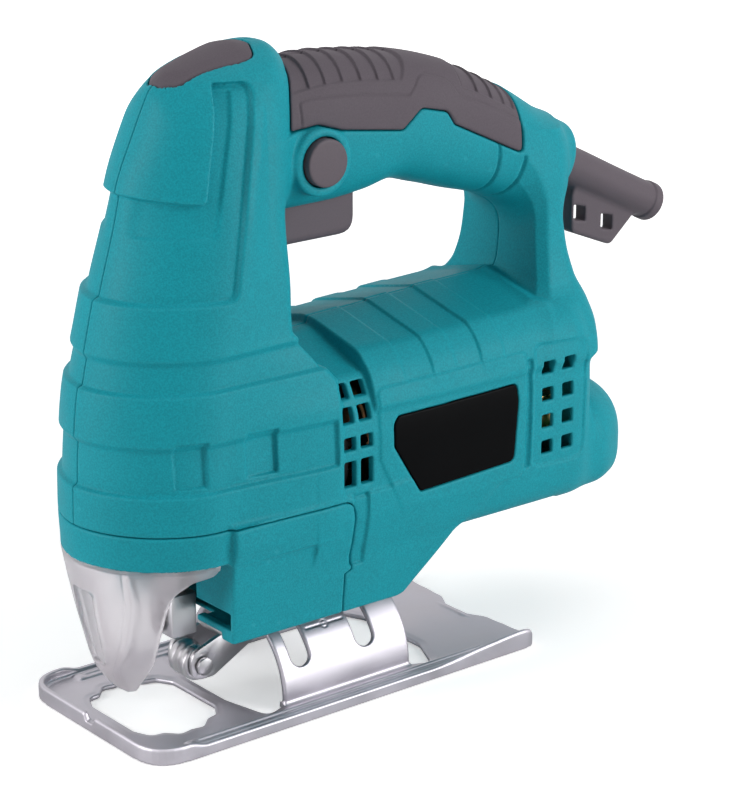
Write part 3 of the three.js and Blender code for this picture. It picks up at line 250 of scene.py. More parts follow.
def surface_net(values, low, step):
    """Vertices and quads of the zero surface of a grid of values."""
    inside = values < 0
    cells = tuple(n - 1 for n in values.shape)
    count = np.zeros(cells, np.int8)
    for i, j, k in CORNERS:
        count += inside[i:cells[0] + i, j:cells[1] + j, k:cells[2] + k]
    where = np.argwhere((count > 0) & (count < 8))
    index = np.full(cells, -1, np.int32)
    index[tuple(where.T)] = np.arange(len(where))
    i, j, k = where.T
    corner = np.stack([values[i + di, j + dj, k + dk] for di, dj, dk in CORNERS], 1)
    total = np.zeros((len(where), 3))
    hits = np.zeros(len(where))
    for a, b in EDGES:
        va, vb = corner[:, a], corner[:, b]
        cross = (va < 0) != (vb < 0)
        t = np.where(cross, va / np.where(cross, va - vb, 1.0), 0.0)
        pa, pb = np.array(CORNERS[a], float), np.array(CORNERS[b], float)
        total += np.where(cross[:, None], pa + (pb - pa) * t[:, None], 0.0)
        hits += cross
    points = (where + total / hits[:, None]) * step + np.array(low)
    faces = []
    for axis in range(3):
        u, v = (axis + 1) % 3, (axis + 2) % 3
        near = [slice(None)] * 3
        far = [slice(None)] * 3
        near[axis], far[axis] = slice(0, -1), slice(1, None)
        change = np.argwhere(inside[tuple(near)] != inside[tuple(far)])
        keep = ((change[:, u] > 0) & (change[:, u] < cells[u])
                & (change[:, v] > 0) & (change[:, v] < cells[v]))
        change = change[keep]
        outward = inside[tuple(near)][tuple(change.T)]
        ring = []
        for du, dv in ((-1, -1), (0, -1), (0, 0), (-1, 0)):
            cell = change.copy()
            cell[:, u] += du
            cell[:, v] += dv
            ring.append(index[tuple(cell.T)])
        quad = np.stack(ring, 1)
        quad[~outward] = quad[~outward][:, ::-1]
        faces.append(quad)
    return points, np.concatenate(faces)


TETRAHEDRON = np.array([(1, 1, 1), (1, -1, -1), (-1, 1, -1), (-1, -1, 1)], np.float32)


def settle(field, points, step, rounds=2):
    """Moves points onto the zero surface along the field's slope, read at four corners round each."""
    reach = np.float32(SLOPE_REACH)
    batches = np.array_split(points, max(1, len(points) // BATCH))

    def part(rows):
        p = rows.astype(np.float32)
        for _ in range(rounds):
            values = [field(*(p + reach * corner).T) for corner in TETRAHEDRON]
            slope = sum(value[:, None] * corner for value, corner in zip(values, TETRAHEDRON))
            slope = slope / (4 * reach)
            steep = np.maximum((slope ** 2).sum(1), 0.09)
            move = np.clip(sum(values) / 4 / steep, -0.6 * step, 0.6 * step)
            p = p - slope * move[:, None]
        return p

    with ThreadPoolExecutor(4) as pool:
        return np.concatenate(list(pool.map(part, batches)))


def mesh_piece(name, points, faces, body, material):
    """A mesh object from points in millimetres, riding on a body."""
    mesh = bpy.data.meshes.new(name)
    faces = np.asarray(faces, np.int32)
    points = np.asarray(points, float) * MM
    points[:, 0] += SHIFT
    mesh.vertices.add(len(points))
    mesh.vertices.foreach_set("co", points.ravel())
    mesh.loops.add(faces.size)
    mesh.loops.foreach_set("vertex_index", faces.ravel())
    mesh.polygons.add(len(faces))
    starts = np.arange(0, faces.size, faces.shape[1], dtype=np.int32)
    mesh.polygons.foreach_set("loop_start", starts)
    mesh.polygons.foreach_set("use_smooth", np.full(len(faces), True))
    mesh.update(calc_edges=True)
    mesh.validate()
    mesh.materials.append(material)
    piece = bpy.data.objects.new(name, mesh)
    bpy.context.scene.collection.objects.link(piece)
    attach(piece, body)
    return piece


def field_piece(name, field, low, high, step, body, material):
    low = [a - GRID_SHIFT * step for a in low]
    axes = [np.arange(a, b + step, step) for a, b in zip(low, high)]
    points, faces = surface_net(sample(field, axes), low, step)
    return mesh_piece(name, settle(field, points, step), faces, body, material)


# ---------------- outer forms of the moulded body
# Plan sections of the nose and its column: height, nose edge, half width at the cheek and at the
# back, rear edge, and the round of the rear corner.
NOSE = [
    (55, -2.6, 30.8, 33.6, 70, 4), (66, -2.8, 31.6, 34.8, 70, 4), (77, -2.6, 31.6, 34.8, 70, 4),
    (94, -1.5, 30.7, 34.0, 70, 3), (102, -0.6, 30.2, 31.4, 70, 2.5), (110, 1.0, 29.4, 29.6, 70, 2.5),
    (118, 3.0, 28.6, 27.6, 70, 3), (132, 6.5, 28.0, 26.2, 71.4, 5), (150, 11.8, 26.6, 23.8, 73.6, 9),
    (163, 15.2, 24.4, 22.2, 77.6, 12), (177, 21.4, 21.6, 20.6, 81, 15), (186, 25.8, 18.8, 18.8, 82.4, 16),
    (191, 28.6, 17.4, 17.6, 82.6, 16), (200, 32.5, 15.6, 15.8, 82.0, 15),
]
NOSE_BASE = 54.9
SHOULDER = (118.0, 102.0, 13.0)              # the rear edge runs forward by 13 between these heights
NOSE_POINT = (1.85, 2.3)                     # squareness of the plan section, low and at the top
TOP_LINE = [(26, 190.4), (36.5, 193.2), (46.8, 196.2), (55.5, 198.0), (61.9, 198.3), (70, 196.6)]
TOP_CROWN = 0.017                            # how fast the top falls away from the middle
BANDS = [(77.0, 92.0), (106.0, 116.0)]       # recessed bands round the nose
POCKETS = [(14.8, 23.8), (36.4, 46.8)]       # the two square pockets in the lower band
COLUMN_LOW = 130.6                           # bottom of the column's sunk face
COLUMN_SINK = (1.9, 0.7)                     # its depth, and what the inner face adds
PANEL_LOW = (161.5, 0.12)                    # lower edge of the raised side panel: height and fall with x
# Motor: position, half width, top and bottom; the corners are rounder above MOTOR_MIDDLE than below.
MOTOR = [(60, 33.8, 109.6, 44.4), (82, 33.8, 110.2, 44.4), (104, 34.4, 111.4, 44.2),
         (148, 34.6, 113.4, 44.2), (162, 34.4, 113.6, 44.2), (178, 33.4, 113.6, 44.4)]
MOTOR_MIDDLE = 77.0
MOTOR_REAR = 177.0
ROOF = (110.6, 0.23)                         # low roof over the motor: ridge height and fall
SHOULDER_PLATE = (111.2, 0.36)               # the same in front of the step
SHOULDER_SIDE = (158.8, 2.05)                # and the steeper face below it
DOME = [(160, 31, 77, 42.4), (176, 30.4, 76.8, 42.6), (184, 27.6, 75.8, 43.6), (189.4, 23.6, 73.8, 45.4),
        (193, 18.4, 70.6, 48), (195.6, 9, 64.6, 52.8)]
DOME_MIDDLE = 57.0
DOME_REAR = 194.4
HANDLE = [(50, 17.0, 186.4, 147.5), (66, 17.4, 191.4, 147.5), (82, 17.8, 192.6, 147.8),
          (96, 18.2, 191.6, 149.2), (106, 18.4, 190.4, 151.2), (118, 18.4, 188.2, 148.4),
          (130, 18.4, 184.8, 144.8), (143, 18.4, 179, 141.2), (155, 18, 172.4, 136),
          (165, 16.8, 166, 132), (172, 15, 161, 133), (178, 11.6, 156.4, 137)]
HANDLE_REAR = 177.0
POST = [(92, 146, 174, 31.4), (100, 150, 174.4, 29.4), (107, 153.4, 173.6, 26), (115, 156, 172, 22.6),
        (124, 157.2, 170.4, 20.6), (136, 157.6, 169.4, 19.4), (148, 154, 169.6, 17.6), (158, 148, 170, 14.5)]
POST_ROUND = 5.5
POST_CHAMFER = 3.0
DIAGONAL = 0.7071              # turns a sum of two distances into the one across the corner
COLLAR = (-36.0, -10.6)        # from where to where along the sleeve
FOOT_SLOPE = (14.4, 16.5, 21.9)     # the sloped rear of the foot: its rise, run and length
FOOT_REAR = 94.5
SADDLE_HALF = 19.5
COVER = rounded([(-12, 10, 0), (71.2, 10, 0), (71.2, 41.5, 0), (73.6, 42.6, 0), (73.6, 65.3, 6),
                 (-12, 65.3, 0)])


def nose_form(x, y, z):
    nose, cheek, back, rear, bend = columns(NOSE, z)
    high, low, run = SHOULDER
    rear = rear - run * ramp_up(low, high, z)
    side = np.abs(y)
    reach = np.minimum(30.0, 0.62 * (rear - nose))
    half = cheek + (back - cheek) * smooth(nose + reach, rear - bend, x)
    point = NOSE_POINT[0] + (NOSE_POINT[1] - NOSE_POINT[0]) * smooth(155.0, 188.0, z)
    front = oval(np.maximum(nose + reach - x, 0.0), side, point, reach, half)
    bend = np.minimum(bend, 0.9 * back)
    corner = round_corner(x - (rear - bend), side - (half - bend), bend)
    stations, heights = zip(*TOP_LINE)
    lid = z - curve(stations, heights, x) + TOP_CROWN * side ** 2
    form = blend_max(np.maximum(front, corner), lid, 4.0 + 0.45 * np.minimum(side, 10))
    return np.maximum(form, NOSE_BASE - z)


def barrel(x, y, z, table, middle, n_top, n_bottom):
    """Superellipse section across x, with its own squareness above and below the middle."""
    half, top, bottom = columns(table, x)
    above = z > middle
    n = np.where(above, n_top, n_bottom)
    height = np.where(above, top - middle, middle - bottom)
    return oval(np.abs(z - middle), np.abs(y), n, height, half)


def falling(line, z, side):
    """Plane that falls away to the side, from its height in the middle and its fall."""
    height, fall = line
    return z + fall * side - height


def motor_form(x, y, z):
    side = np.abs(y)
    tube = barrel(x, y, z, MOTOR, MOTOR_MIDDLE, 2.7, 7.0)
    rise = np.minimum(0.03 * (x - 82.0), 3.0)
    roof = (falling(ROOF, z, side) - rise) / math.hypot(1.0, ROOF[1])
    plate = falling(SHOULDER_PLATE, z, side) / math.hypot(1.0, SHOULDER_PLATE[1])
    flank = falling(SHOULDER_SIDE, z, side) / math.hypot(1.0, SHOULDER_SIDE[1])
    front = ramp_up(81.7, 81.0, x)
    flank = flank - 6.0 * (1.0 - front)
    tube = blend_max(tube, blend_max(plate * front + roof * (1.0 - front), flank, 0.8), 0.8)
    tube = blend_max(tube, x - MOTOR_REAR + 0.006 * y ** 2, 10.0)
    return np.maximum(tube, MOTOR[0][0] - x)


def dome_form(x, y, z):
    tube = barrel(x, y, z, DOME, DOME_MIDDLE, 2.6, 4.0)
    return np.maximum(blend_max(tube, x - DOME_REAR, 4.0), DOME[0][0] - x)


def handle_form(x, y, z):
    half, top, bottom = columns(HANDLE, x)
    middle = (top + bottom) / 2
    tube = oval(np.abs(z - middle), np.abs(y), 2.55, (top - bottom) / 2, half)
    return np.maximum(blend_max(tube, x - HANDLE_REAR, 8.0), HANDLE[0][0] - x)


def post_form(x, y, z):
    front, rear, half = columns(POST, z)
    box = round_corner(x - rear + POST_ROUND, np.abs(y) - half + POST_ROUND, POST_ROUND)
    chamfer = (front - x + np.abs(y) - half + POST_CHAMFER) * DIAGONAL
    box = np.maximum(blend_max(box, chamfer, 0.7), front - x)
    return np.maximum(box, slab(z, POST[0][0], POST[-1][0]))


def along_sleeve(x, y, z):
    """Distance along the cord sleeve's axis, and away from it."""
    c, s = math.cos(math.radians(SLEEVE["angle"])), math.sin(math.radians(SLEEVE["angle"]))
    dx, dz = x - SLEEVE["x"], z - SLEEVE["z"]
    return dx * c - dz * s, np.hypot(y, dx * s + dz * c)


def collar_form(x, y, z):
    d, r = along_sleeve(x, y, z)
    radius = curve([-36, -28, -22, -14.5, -10.6], [9.6, 10.6, 11.6, 11.6, 10.4], d)
    return blend_max(r - radius, slab(d, *COLLAR), 3.5)


def foot_form(x, y, z):
    half = curve([HOUSING_BASE, 40, 52, 60], [29.8, 30.8, 31.6, 33.8], z)
    front = x - (31.2 - 0.02 * (z - HOUSING_BASE))
    sides = blend_max(np.abs(y) - half - 0.012 * (x - 31), -front, 0.9)
    rise, run, length = FOOT_SLOPE
    slope = ((x - FOOT_REAR) * rise - (z - HOUSING_BASE) * run) / length
    body = blend_max(blend_max(sides, slope, 2.0), HOUSING_BASE - z, 1.6)
    return np.maximum(body, slab(z, HOUSING_BASE - 1, 66.0))


def saddle_form(x, y, z):
    """Round-bottomed block under the foot that the shoe's arch turns against."""
    form = block(x, y, z, (ARCH[0], 94.0), SADDLE_HALF, (24.0, HOUSING_BASE + 3))
    return np.maximum(form, ARCH_RADIUS + GAP - np.hypot(y, z - TILT_Z))


def body_forms(x, y, z):
    return {
        "nose": nose_form(x, y, z), "motor": motor_form(x, y, z), "dome": dome_form(x, y, z),
        "handle": handle_form(x, y, z), "post": post_form(x, y, z), "collar": collar_form(x, y, z),
        "foot": foot_form(x, y, z),
    }


def body_skin(f):
    """The outer skin of the whole moulded body, with the fillets between its forms."""
    body = blend_min(f["nose"], f["motor"], 1.4)
    body = blend_min(body, f["foot"], 2.0)
    body = blend_min(body, f["dome"], 2.5)
    grip = blend_min(f["handle"], f["post"], 8.0)
    return blend_min(body, blend_min(grip, f["collar"], 5.0), 6.0)


# ---------------- relief on the skin
GRIP_EDGE = rounded([
    (50, 171.5, 0), (65, 173.6, 2), (73, 174.4, 4), (81.5, 171.8, 3), (103.7, 168.8, 2), (110.9, 174.4, 3),
    (120.9, 172.1, 3), (123.7, 167.8, 2), (150.6, 155.2, 1.5), (150.6, 215, 0), (50, 215, 0)])
HALF_CAP = [(58.9, 3.4, 4), (55.2, 11.0, 4), (49.5, 10.9, 6), (39.5, 8.5, 12), (32.6, 7.4, 5), (28.8, 2.6, 3)]
CAP = both_sides(HALF_CAP)
CAP_LOW = 180.0
LABEL = rounded([(97.4, 62.5, 1.5), (134.4, 64.1, 2.5), (136, 83.2, 1.5), (135.5, 88.7, 2), (89.5, 87.8, 2),
                 (87.8, 85.4, 2), (87.7, 78.6, 2)])
LABEL_DEPTH = 0.8
LABEL_PLAY = 0.15              # room round the label on either side of its outline
LABEL_RISE = 0.5               # the field round the label stands proud by this
LABEL_FIELD = rounded([(82.6, 97, 2), (82.6, 75.5, 2), (90.5, 59, 2), (138, 58.4, 2), (139.6, 98, 2)])
VENT_PANEL = rounded([(142.4, 60, 3), (164.6, 59, 5), (166, 98, 5), (143.6, 99, 3)])
VENT_REACH = 23.0
FRONT_VENTS = {"x": (71.5, 77.8), "rows": ((97.6, 4.4), (91.0, 4.8), (82.6, 4.2), (73.4, 8.0)), "width": 4.5}
REAR_VENTS = {"x": (149.0, 157.4), "rows": ((91, 4.4), (82.3, 4.4), (73.6, 4.4), (65.2, 4.4)), "width": 4.6}


def band_relief(x, y, z):
    """Recessed bands of the nose and the stepped panels of its column."""
    depth = 0.0
    side = np.abs(y)
    for low, high in BANDS:
        band = BAND_DEPTH * ramp_up(low, low + 0.9, z) * ramp_up(high, high - 1.8, z)
        depth = np.maximum(depth, band)
    depth = depth * ramp_up(67.2, 66.3, x)
    # The two square pockets in the lower band, each deepest at its rear edge.
    for low, high in POCKETS:
        pocket = rectangle(x, z, (low, high), (79.3, 92.6), 0.4)
        floor = 0.55 + 1.0 * ramp_up(low, high, x)
        depth = depth + floor * ramp_up(0.2, -0.3, pocket) * (side > 10)
    # The face of the column is sunk in front of a long riser, once more above its lower part, and
    # the raised panel stands in it.
    rise = z - 131.0
    riser = x - (36.8 + 0.175 * rise + 0.0012 * rise ** 2)
    face = blend_max(blend_max(riser, COLUMN_LOW - z, 3.0), z - 190.2, 4.0)
    inner = blend_max(riser + 6.9 - 0.03 * (z - 150.0), 148.4 - z, 2.0)
    inner = np.maximum(inner, face + 2.4)
    panel = blend_max(riser + 11.4, PANEL_LOW[0] - PANEL_LOW[1] * x - z, 2.0)
    sunk = COLUMN_SINK[0] * ramp_up(0.0, -1.0, face)
    sunk = sunk + COLUMN_SINK[1] * ramp_up(0.0, -0.8, inner) * smooth(4, 9, side)
    return depth + sunk * (1.0 - 0.93 * ramp_up(0.4, -0.5, panel))


def motor_relief(x, y, z):
    """Stepped rings, label field and vent panel of the motor housing; negative stands proud."""
    upper = smooth(93.0, 103.0, z)
    # The step that rings the motor behind the front slots dies out down the side.
    proud = (1.3 + 0.9 * upper) * ramp_up(81.0, 81.7, x) * smooth(89.5, 92.5, z)
    proud = proud + 0.65 * upper * (ramp_up(103.7, 104.1, x) + ramp_up(122.1, 122.5, x))
    rings = ramp_up(93.5, 93.8, x) + ramp_up(112.5, 112.8, x) + ramp_up(131.1, 131.4, x)
    proud = proud - 0.35 * upper * rings
    proud = proud + LABEL_RISE * ramp_up(0.4, -0.4, polygon(LABEL_FIELD, x, z)) * (z < 99.5)
    depth = 0.7 * ramp_up(0.4, -0.4, polygon(VENT_PANEL, x, z))
    groove = rectangle(x - (z - 60) * 0.028, z, (139.2, 141.2), (60.5, 95.0), 0.8)
    depth = depth + 1.1 * ramp_up(0.4, -0.4, groove)
    fade = smooth(170.0, 160.0, x)
    return (depth - proud * fade) * (x > 60.0)


def cover_band(x, z):
    """The sunk band of the clamshell beside the cover's upright seam."""
    along = 0.9 * ramp_up(78.3, 77.6, x) * ramp_up(72.0, 73.0, x)
    return along * ramp_up(67.0, 66.4, z) * ramp_up(43.6, 44.2, z)


def handle_relief(x, y, z):
    """Curved grooves in the rear of the handle below the grip."""
    depth = 0.0
    for place, lean, top in ((141.7, 0.0, 159.6), (151.4, 0.16, 154.2)):
        bow = place + lean * (z - 153.0) - 0.012 * (z - 153.0) ** 2
        line = np.maximum(np.abs(x - bow) - 0.45, slab(z, 138.0, top))
        depth = depth + 0.9 * ramp_up(0.35, -0.25, line)
    return depth


def vents(x, z):
    slots = []
    for group in (FRONT_VENTS, REAR_VENTS):
        w = group["width"] / 2
        for row, height in group["rows"]:
            for place in group["x"]:
                span_z = (row - height / 2, row + height / 2)
                slots.append(rectangle(x, z, (place - w, place + w), span_z, 0.5))
    return join(*slots)


def skin_with_relief(x, y, z, f):
    skin = body_skin(f)
    nose_zone = smooth(2.0, -2.0, f["nose"] - f["handle"]) * smooth(69.5, 67.5, x)
    column = band_relief(x, y, z) * nose_zone
    motor_zone = smooth(2.0, -2.0, f["motor"] - np.minimum(f["post"], f["dome"]))
    motor = (motor_relief(x, y, z) + cover_band(x, z)) * motor_zone * (z < 120)
    handle_zone = (f["handle"] < f["nose"]) & (x > 90)
    return skin + column + motor + handle_relief(x, y, z) * handle_zone


# ---------------- insides of the clamshell
SWITCH_X = (66.5, 98.0)
SWITCH_Z = (163.0, 182.0)
SWITCH_HALF = 9.0
THROAT_X = 60.0                # the motor's front, whose section is carried on into the nose
RIBS = [(66.3, 2.0, 12.5, 66, 112), (98.0, 2.0, 24.3, 30, 112), (130.0, 2.0, 24.3, 30, 112),
        (160.5, 8.0, 11.3, 52, 100)]   # place, width and hole of each upright rib, low and high
BOSS = 4.9
SADDLE_BOSS = 5.5
SADDLE_BORE = (2.8, 14.0, 44.0)        # radius, low and high of the shoe screws' holes


def cavity(x, y, z, f):
    """Hollow of the body, less the ribs and screw bosses that stand in it."""
    throat = barrel(x * 0.0 + THROAT_X, y, z, MOTOR, MOTOR_MIDDLE, 2.75, 7.0) + WALL
    throat = np.maximum(throat, falling(SHOULDER_PLATE, z, np.abs(y)) + 2.0 * WALL)
    hollow = join(f["nose"] + NOSE_WALL, f["motor"] + WALL, np.maximum(throat, slab(x, 54.0, 72.0)),
                  f["dome"] + WALL, f["handle"] + WALL + 1.6, f["post"] + WALL + 0.4, f["collar"] + WALL,
                  np.maximum(f["foot"] + WALL, slab(x, 70.0, 140.0)))
    hollow = np.maximum(hollow, -np.maximum(190.0 - z, x - 80.0))
    axis = np.hypot(y, z - MOTOR_Z)
    ribs = [np.maximum(np.maximum(slab(x, start, start + width), slab(z, low, high)), hole - axis)
            for start, width, hole, low, high in RIBS]
    for wall in SWITCH_X:
        ribs.append(np.maximum(slab(x, wall - 1.5, wall + 1.5), slab(z, SWITCH_Z[0], SWITCH_Z[1] + 2)))
    shelf = np.maximum(slab(z, 126.0, 133.0), x - 46.0)
    shelf = np.maximum(shelf, PLUNGER_HOLE - np.hypot(x - BLADE_X, y))
    span_x = (SWITCH_X[0] - GAP, SWITCH_X[1] + GAP)
    span_z = (SWITCH_Z[0] - GAP, SWITCH_Z[1] + GAP)
    solid = np.maximum(join(shelf, *ribs), -block(x, y, z, span_x, SWITCH_HALF + GAP, span_z))
    bosses = [np.hypot(x - place, z - height) - BOSS for place, height in SCREWS]
    solid = join(solid, upright(x, y, z, ARCH_SLOTS[1], SADDLE_BOSS, 29.0, 45.0), *bosses)
    return np.maximum(hollow, -solid)


def trigger_pin(x, z):
    """Distance from the pin that the trigger turns on."""
    return np.hypot(x - TRIGGER_PIN["x"], z - TRIGGER_PIN["z"]) - TRIGGER_PIN["r"]


def housing_field(side):
    """One half of the clamshell; side is -1 for the left half and 1 for the right."""
    def field(x, y, z):
        f = body_forms(x, y, z)
        # The flanks are cut flat, to keep to the width of the shoe.
        shell = np.maximum(skin_with_relief(x, y, z, f), np.abs(y) - SHOE_HALF + 0.05)
        shell = np.minimum(shell, saddle_form(x, y, z))
        ring = np.hypot(x - BUTTON["x"], z - BUTTON["z"])
        if side < 0:
            bezel = blend_max(ring - BUTTON["bezel"], np.maximum(-20.2 - y, y + 12.0), 1.6)
            bezel = np.maximum(bezel, -(f["handle"] + WALL + 1.6))
            shell = blend_min(shell, bezel, 1.5)
        shell = blend_max(shell, -(polygon(COVER, x, z) - GAP), 0.7)
        recess = np.maximum(polygon(GRIP_EDGE, x, z) - GAP, -(f["handle"] + SKIN + GAP))
        recess = np.maximum(recess, -f["nose"] + 0.05)
        shell = blend_max(shell, -recess, 0.8)
        cap = np.maximum(polygon(CAP, x, y) - GAP, -(f["nose"] + SKIN + GAP))
        shell = blend_max(shell, -np.maximum(cap, CAP_LOW - z), 0.5)
        shell = np.maximum(shell, -cavity(x, y, z, f))
        shell = blend_max(shell, -np.maximum(vents(x, z), VENT_REACH - np.abs(y)), 0.5)
        d, r = along_sleeve(x, y, z)
        holes = [np.maximum(ring - BUTTON["hole"], slab(y, -40.0, -10.0)),
                 block(x, y, z, (60.8, 97.4), 8.2, (130.0, 158.0)),
                 np.maximum(trigger_pin(x, z), np.abs(y) - 11.4),
                 np.maximum(r - SLEEVE["r"] - GAP, slab(d, -20.0, 20.0))]
        holes += [upright(x, y, z, station, *SADDLE_BORE) for station in ARCH_SLOTS]
        for place, height in SCREWS:
            line = np.hypot(x - place, z - height)
            if side > 0:
                holes.append(np.maximum(line - 3.6, SCREW_SEAT - GAP - y))
            holes.append(np.maximum(line - 2.1, -9.6 - y))
        if side < 0:
            pocket = -(f["motor"] - LABEL_RISE + LABEL_DEPTH + GAP)
            pocket = np.maximum(polygon(LABEL, x, z) - LABEL_PLAY, pocket)
            holes.append(np.maximum(pocket, y + 20.0))
        shell = blend_max(shell, -join(*holes), 0.4)
        return blend_max(shell, HALF_SEAM - side * y, 0.45)
    return field


def cover_field(x, y, z):
    """Lower front moulding of the gearbox, with the foot."""
    f = body_forms(x, y, z)
    shell = blend_max(skin_with_relief(x, y, z, f), polygon(COVER, x, z), 0.7)
    shell = np.minimum(shell, np.maximum(saddle_form(x, y, z), polygon(COVER, x, z)))
    hollow = np.maximum(f["nose"] + WALL, 58.0 - z)
    hollow = np.minimum(hollow, np.maximum(np.maximum(slab(x, 34.0, 71.0), np.abs(y) - 27.6), 32.4 - z))
    shell = blend_max(shell, -hollow, 0.5)
    shell = np.minimum(shell, upright(x, y, z, BLADE_X, 10.9, 55.7, 65.3))
    shell = np.minimum(shell, upright(x, y, z, ARCH_SLOTS[0], SADDLE_BOSS, 30.0, 44.0))
    # Room for the blade clamp, the dust slot across it, and room for the roller's bracket.
    pocket = join(block(x, y, z, (20.0, 37.4), 12.0, (20.0, 54.0)),
                  block(x, y, z, (24.0, 36.4), 28.8, (33.0, 38.2)),
                  block(x, y, z, (28.0, 51.5), 24.0, (20.0, 31.2)),
                  upright(x, y, z, BLADE_X, PLUNGER_HOLE, 50.0, 80.0),
                  *(upright(x, y, z, station, *SADDLE_BORE) for station in ARCH_SLOTS))
    return blend_max(shell, -pocket, 0.4)


# ---------------- soft grips, cap and label
FRONT_RIBS = (67.6, 74.6, 80.4, 86.6, 93.2, 99.4, 105.0)
REAR_RIBS = (130.9, 137.2, 142.9, 147.8)
RIB_DROP = 7.6                 # how far the ribs reach down from the top of the grip
# Drop of the step in the grip's side below its top, along x.
CONTOUR = [(63.5, 10.1), (70, 10.2), (80, 11.0), (95, 11.5), (105.8, 11.8), (108.2, 10.0), (112, 6.2),
           (114.5, 5.3), (121.5, 5.9), (123.9, 7.0), (126, 9.6), (130.4, 10.5), (149.5, 10.0)]


def grip_relief(x, y, z):
    """Overlapping ribs in two sunk zones of the soft grip, and the stepped contour below them."""
    stations, _, tops, _ = zip(*HANDLE)
    drop = curve(stations, tops, x) - z
    lean = x + 0.18 * np.abs(y)
    depth = 0.0
    for lines, pitch, rear in ((FRONT_RIBS, 6.2, 111.2 - 0.83 * drop), (REAR_RIBS, 5.4, 150.4 - 0.2 * drop)):
        zone = blend_max(np.maximum(lines[0] - lean, x - rear), drop - RIB_DROP, 0.6)
        past = 0.0
        for line in lines[1:]:
            past = np.where(lean > line, line, past)
        past = np.maximum(past, lines[0])
        tooth = ramp_up(0.0, 0.3, lean - past) * ramp_up(pitch, 0.0, lean - past)
        depth = depth + (0.95 - 0.8 * tooth) * ramp_up(0.15, -0.2, zone)
    stations, drops = zip(*CONTOUR)
    edge = blend_min(drop - curve(stations, drops, x), x - 67.4, 1.2)
    depth = depth + 0.3 * ramp_up(0.2, -0.2, edge) + 0.25 * ramp_up(0.5, 0.1, np.abs(edge))
    return depth


def grip_field(side):
    def field(x, y, z):
        handle = handle_form(x, y, z)
        nose = nose_form(x, y, z)
        skin = handle - 0.15 + grip_relief(x, y, z)
        skin = blend_max(skin, polygon(GRIP_EDGE, x, z) + 0.05, 0.9)
        skin = blend_max(skin, GAP - nose, 0.8)
        skin = np.maximum(skin, -(handle + SKIN))
        return blend_max(skin, HALF_SEAM - side * y, 0.5)
    return field


def cap_field(x, y, z):
    outline = polygon(CAP, x, y)
    skin = nose_form(x, y, z)
    crown = 0.5 * smooth(0.0, -4.5, outline) - 0.25
    body = blend_max(skin - crown, outline + 0.05, 0.6)
    return np.maximum(body, -(skin + SKIN))


def label_field(x, y, z):
    motor = motor_form(x, y, z) - LABEL_RISE
    body = blend_max(motor, polygon(LABEL, x, z) + LABEL_PLAY, 0.4)
    return np.maximum(np.maximum(body, -(motor + LABEL_DEPTH)), y + 20.0)


# ---------------- handle controls
TRIGGER = rounded([(62.6, 137.2, 2), (94.4, 137.2, 5.5), (94.4, 156, 2), (90, 158.6, 2), (62.6, 158.6, 2)])
FIN = rounded([(186.6, 121, 2), (204, 114, 2.5), (216.6, 124.8, 1.5), (213, 129, 0), (188.4, 138.6, 0),
               (186.4, 133, 1)])
EYES = [(190.0, 126.9), (202.0, 122.1)]
EYE_HALF = 2.4


def trigger_field(x, y, z):
    body = blend_max(polygon(TRIGGER, x, z), np.abs(y) - 7.6, 2.6)
    return np.maximum(body, -trigger_pin(x, z))


def button_field(x, y, z):
    r = np.hypot(x - BUTTON["x"], z - BUTTON["z"])
    crown = -22.3 + 0.003 * r ** 2 - y
    head = blend_max(r - BUTTON["r"], np.maximum(crown, y + 15.6), 0.5)
    flange = np.maximum(r - BUTTON["r"] - 0.2, slab(y, -17.0, -15.6))
    stem = np.maximum(r - 2.6, slab(y, -15.7, -11.8))
    return np.minimum(np.minimum(head, flange), stem)


def sleeve_field(x, y, z):
    """Cord sleeve with the fin below it and the two square eyes through the fin."""
    d, r = along_sleeve(x, y, z)
    length = SLEEVE["length"]
    radius = SLEEVE["r"] + 0.5 * smooth(length - 4.0, length - 3.4, d) - 0.25 * smooth(-6, 22, d)
    tube = blend_max(r - radius, slab(d, -15.2, length), 0.9)
    tube = np.minimum(tube, np.maximum(r - 8.4, slab(d, -18.6, -15.0)))
    fin = blend_max(polygon(FIN, x, z), np.abs(y) - 2.5, 1.2)
    eyes = []
    for ex, ez in EYES:
        span_x = (ex - EYE_HALF, ex + EYE_HALF)
        span_z = (ez - EYE_HALF, ez + EYE_HALF)
        eyes.append(rectangle(x, z + 0.25 * (x - ex), span_x, span_z, 0.4))
    fin = blend_max(fin, -join(*eyes), 0.8)
    body = blend_min(tube, fin, 1.5)
    bore = np.maximum(r - 3.5, length - 12.0 - d)
    return blend_max(body, -bore, 0.6)


# ---------------- pressed shoe
NOTCH = ((0, -11, 4), (-3.2, -5, 3), (-3.2, 5, 3), (0, 11, 4))
SHOE_OUTLINE = rounded([(0, -SHOE_HALF, 12), (SHOE_LENGTH, -SHOE_HALF, 5)]
                       + [(SHOE_LENGTH - 1.2 + a, b, r) for a, b, r in NOTCH]
                       + [(SHOE_LENGTH, SHOE_HALF, 5), (0, SHOE_HALF, 12)], 8)
HALF_OPENING = [(8.6, 11, 3), (11, 16.5, 3), (15, 17, 2), (18.5, 20.8, 2.5), (22.5, 20, 2), (26.5, 20.8, 2.5),
                (30.5, 17, 2), (34.5, 16, 2), (37.4, 11, 3)]
BLADE_OPENING = both_sides(HALF_OPENING)
HALF_ARCH = [(42.4, 10, 5), (46, ARCH_RADIUS + 1.6, 3), (ARCH[0] - 0.5, ARCH_RADIUS - 1, 2),
             (ARCH[1] + 1, ARCH_RADIUS - 1, 2), (108.5, ARCH_RADIUS + 2, 3), (114.5, 14, 6)]
ARCH_OPENING = both_sides(HALF_ARCH)


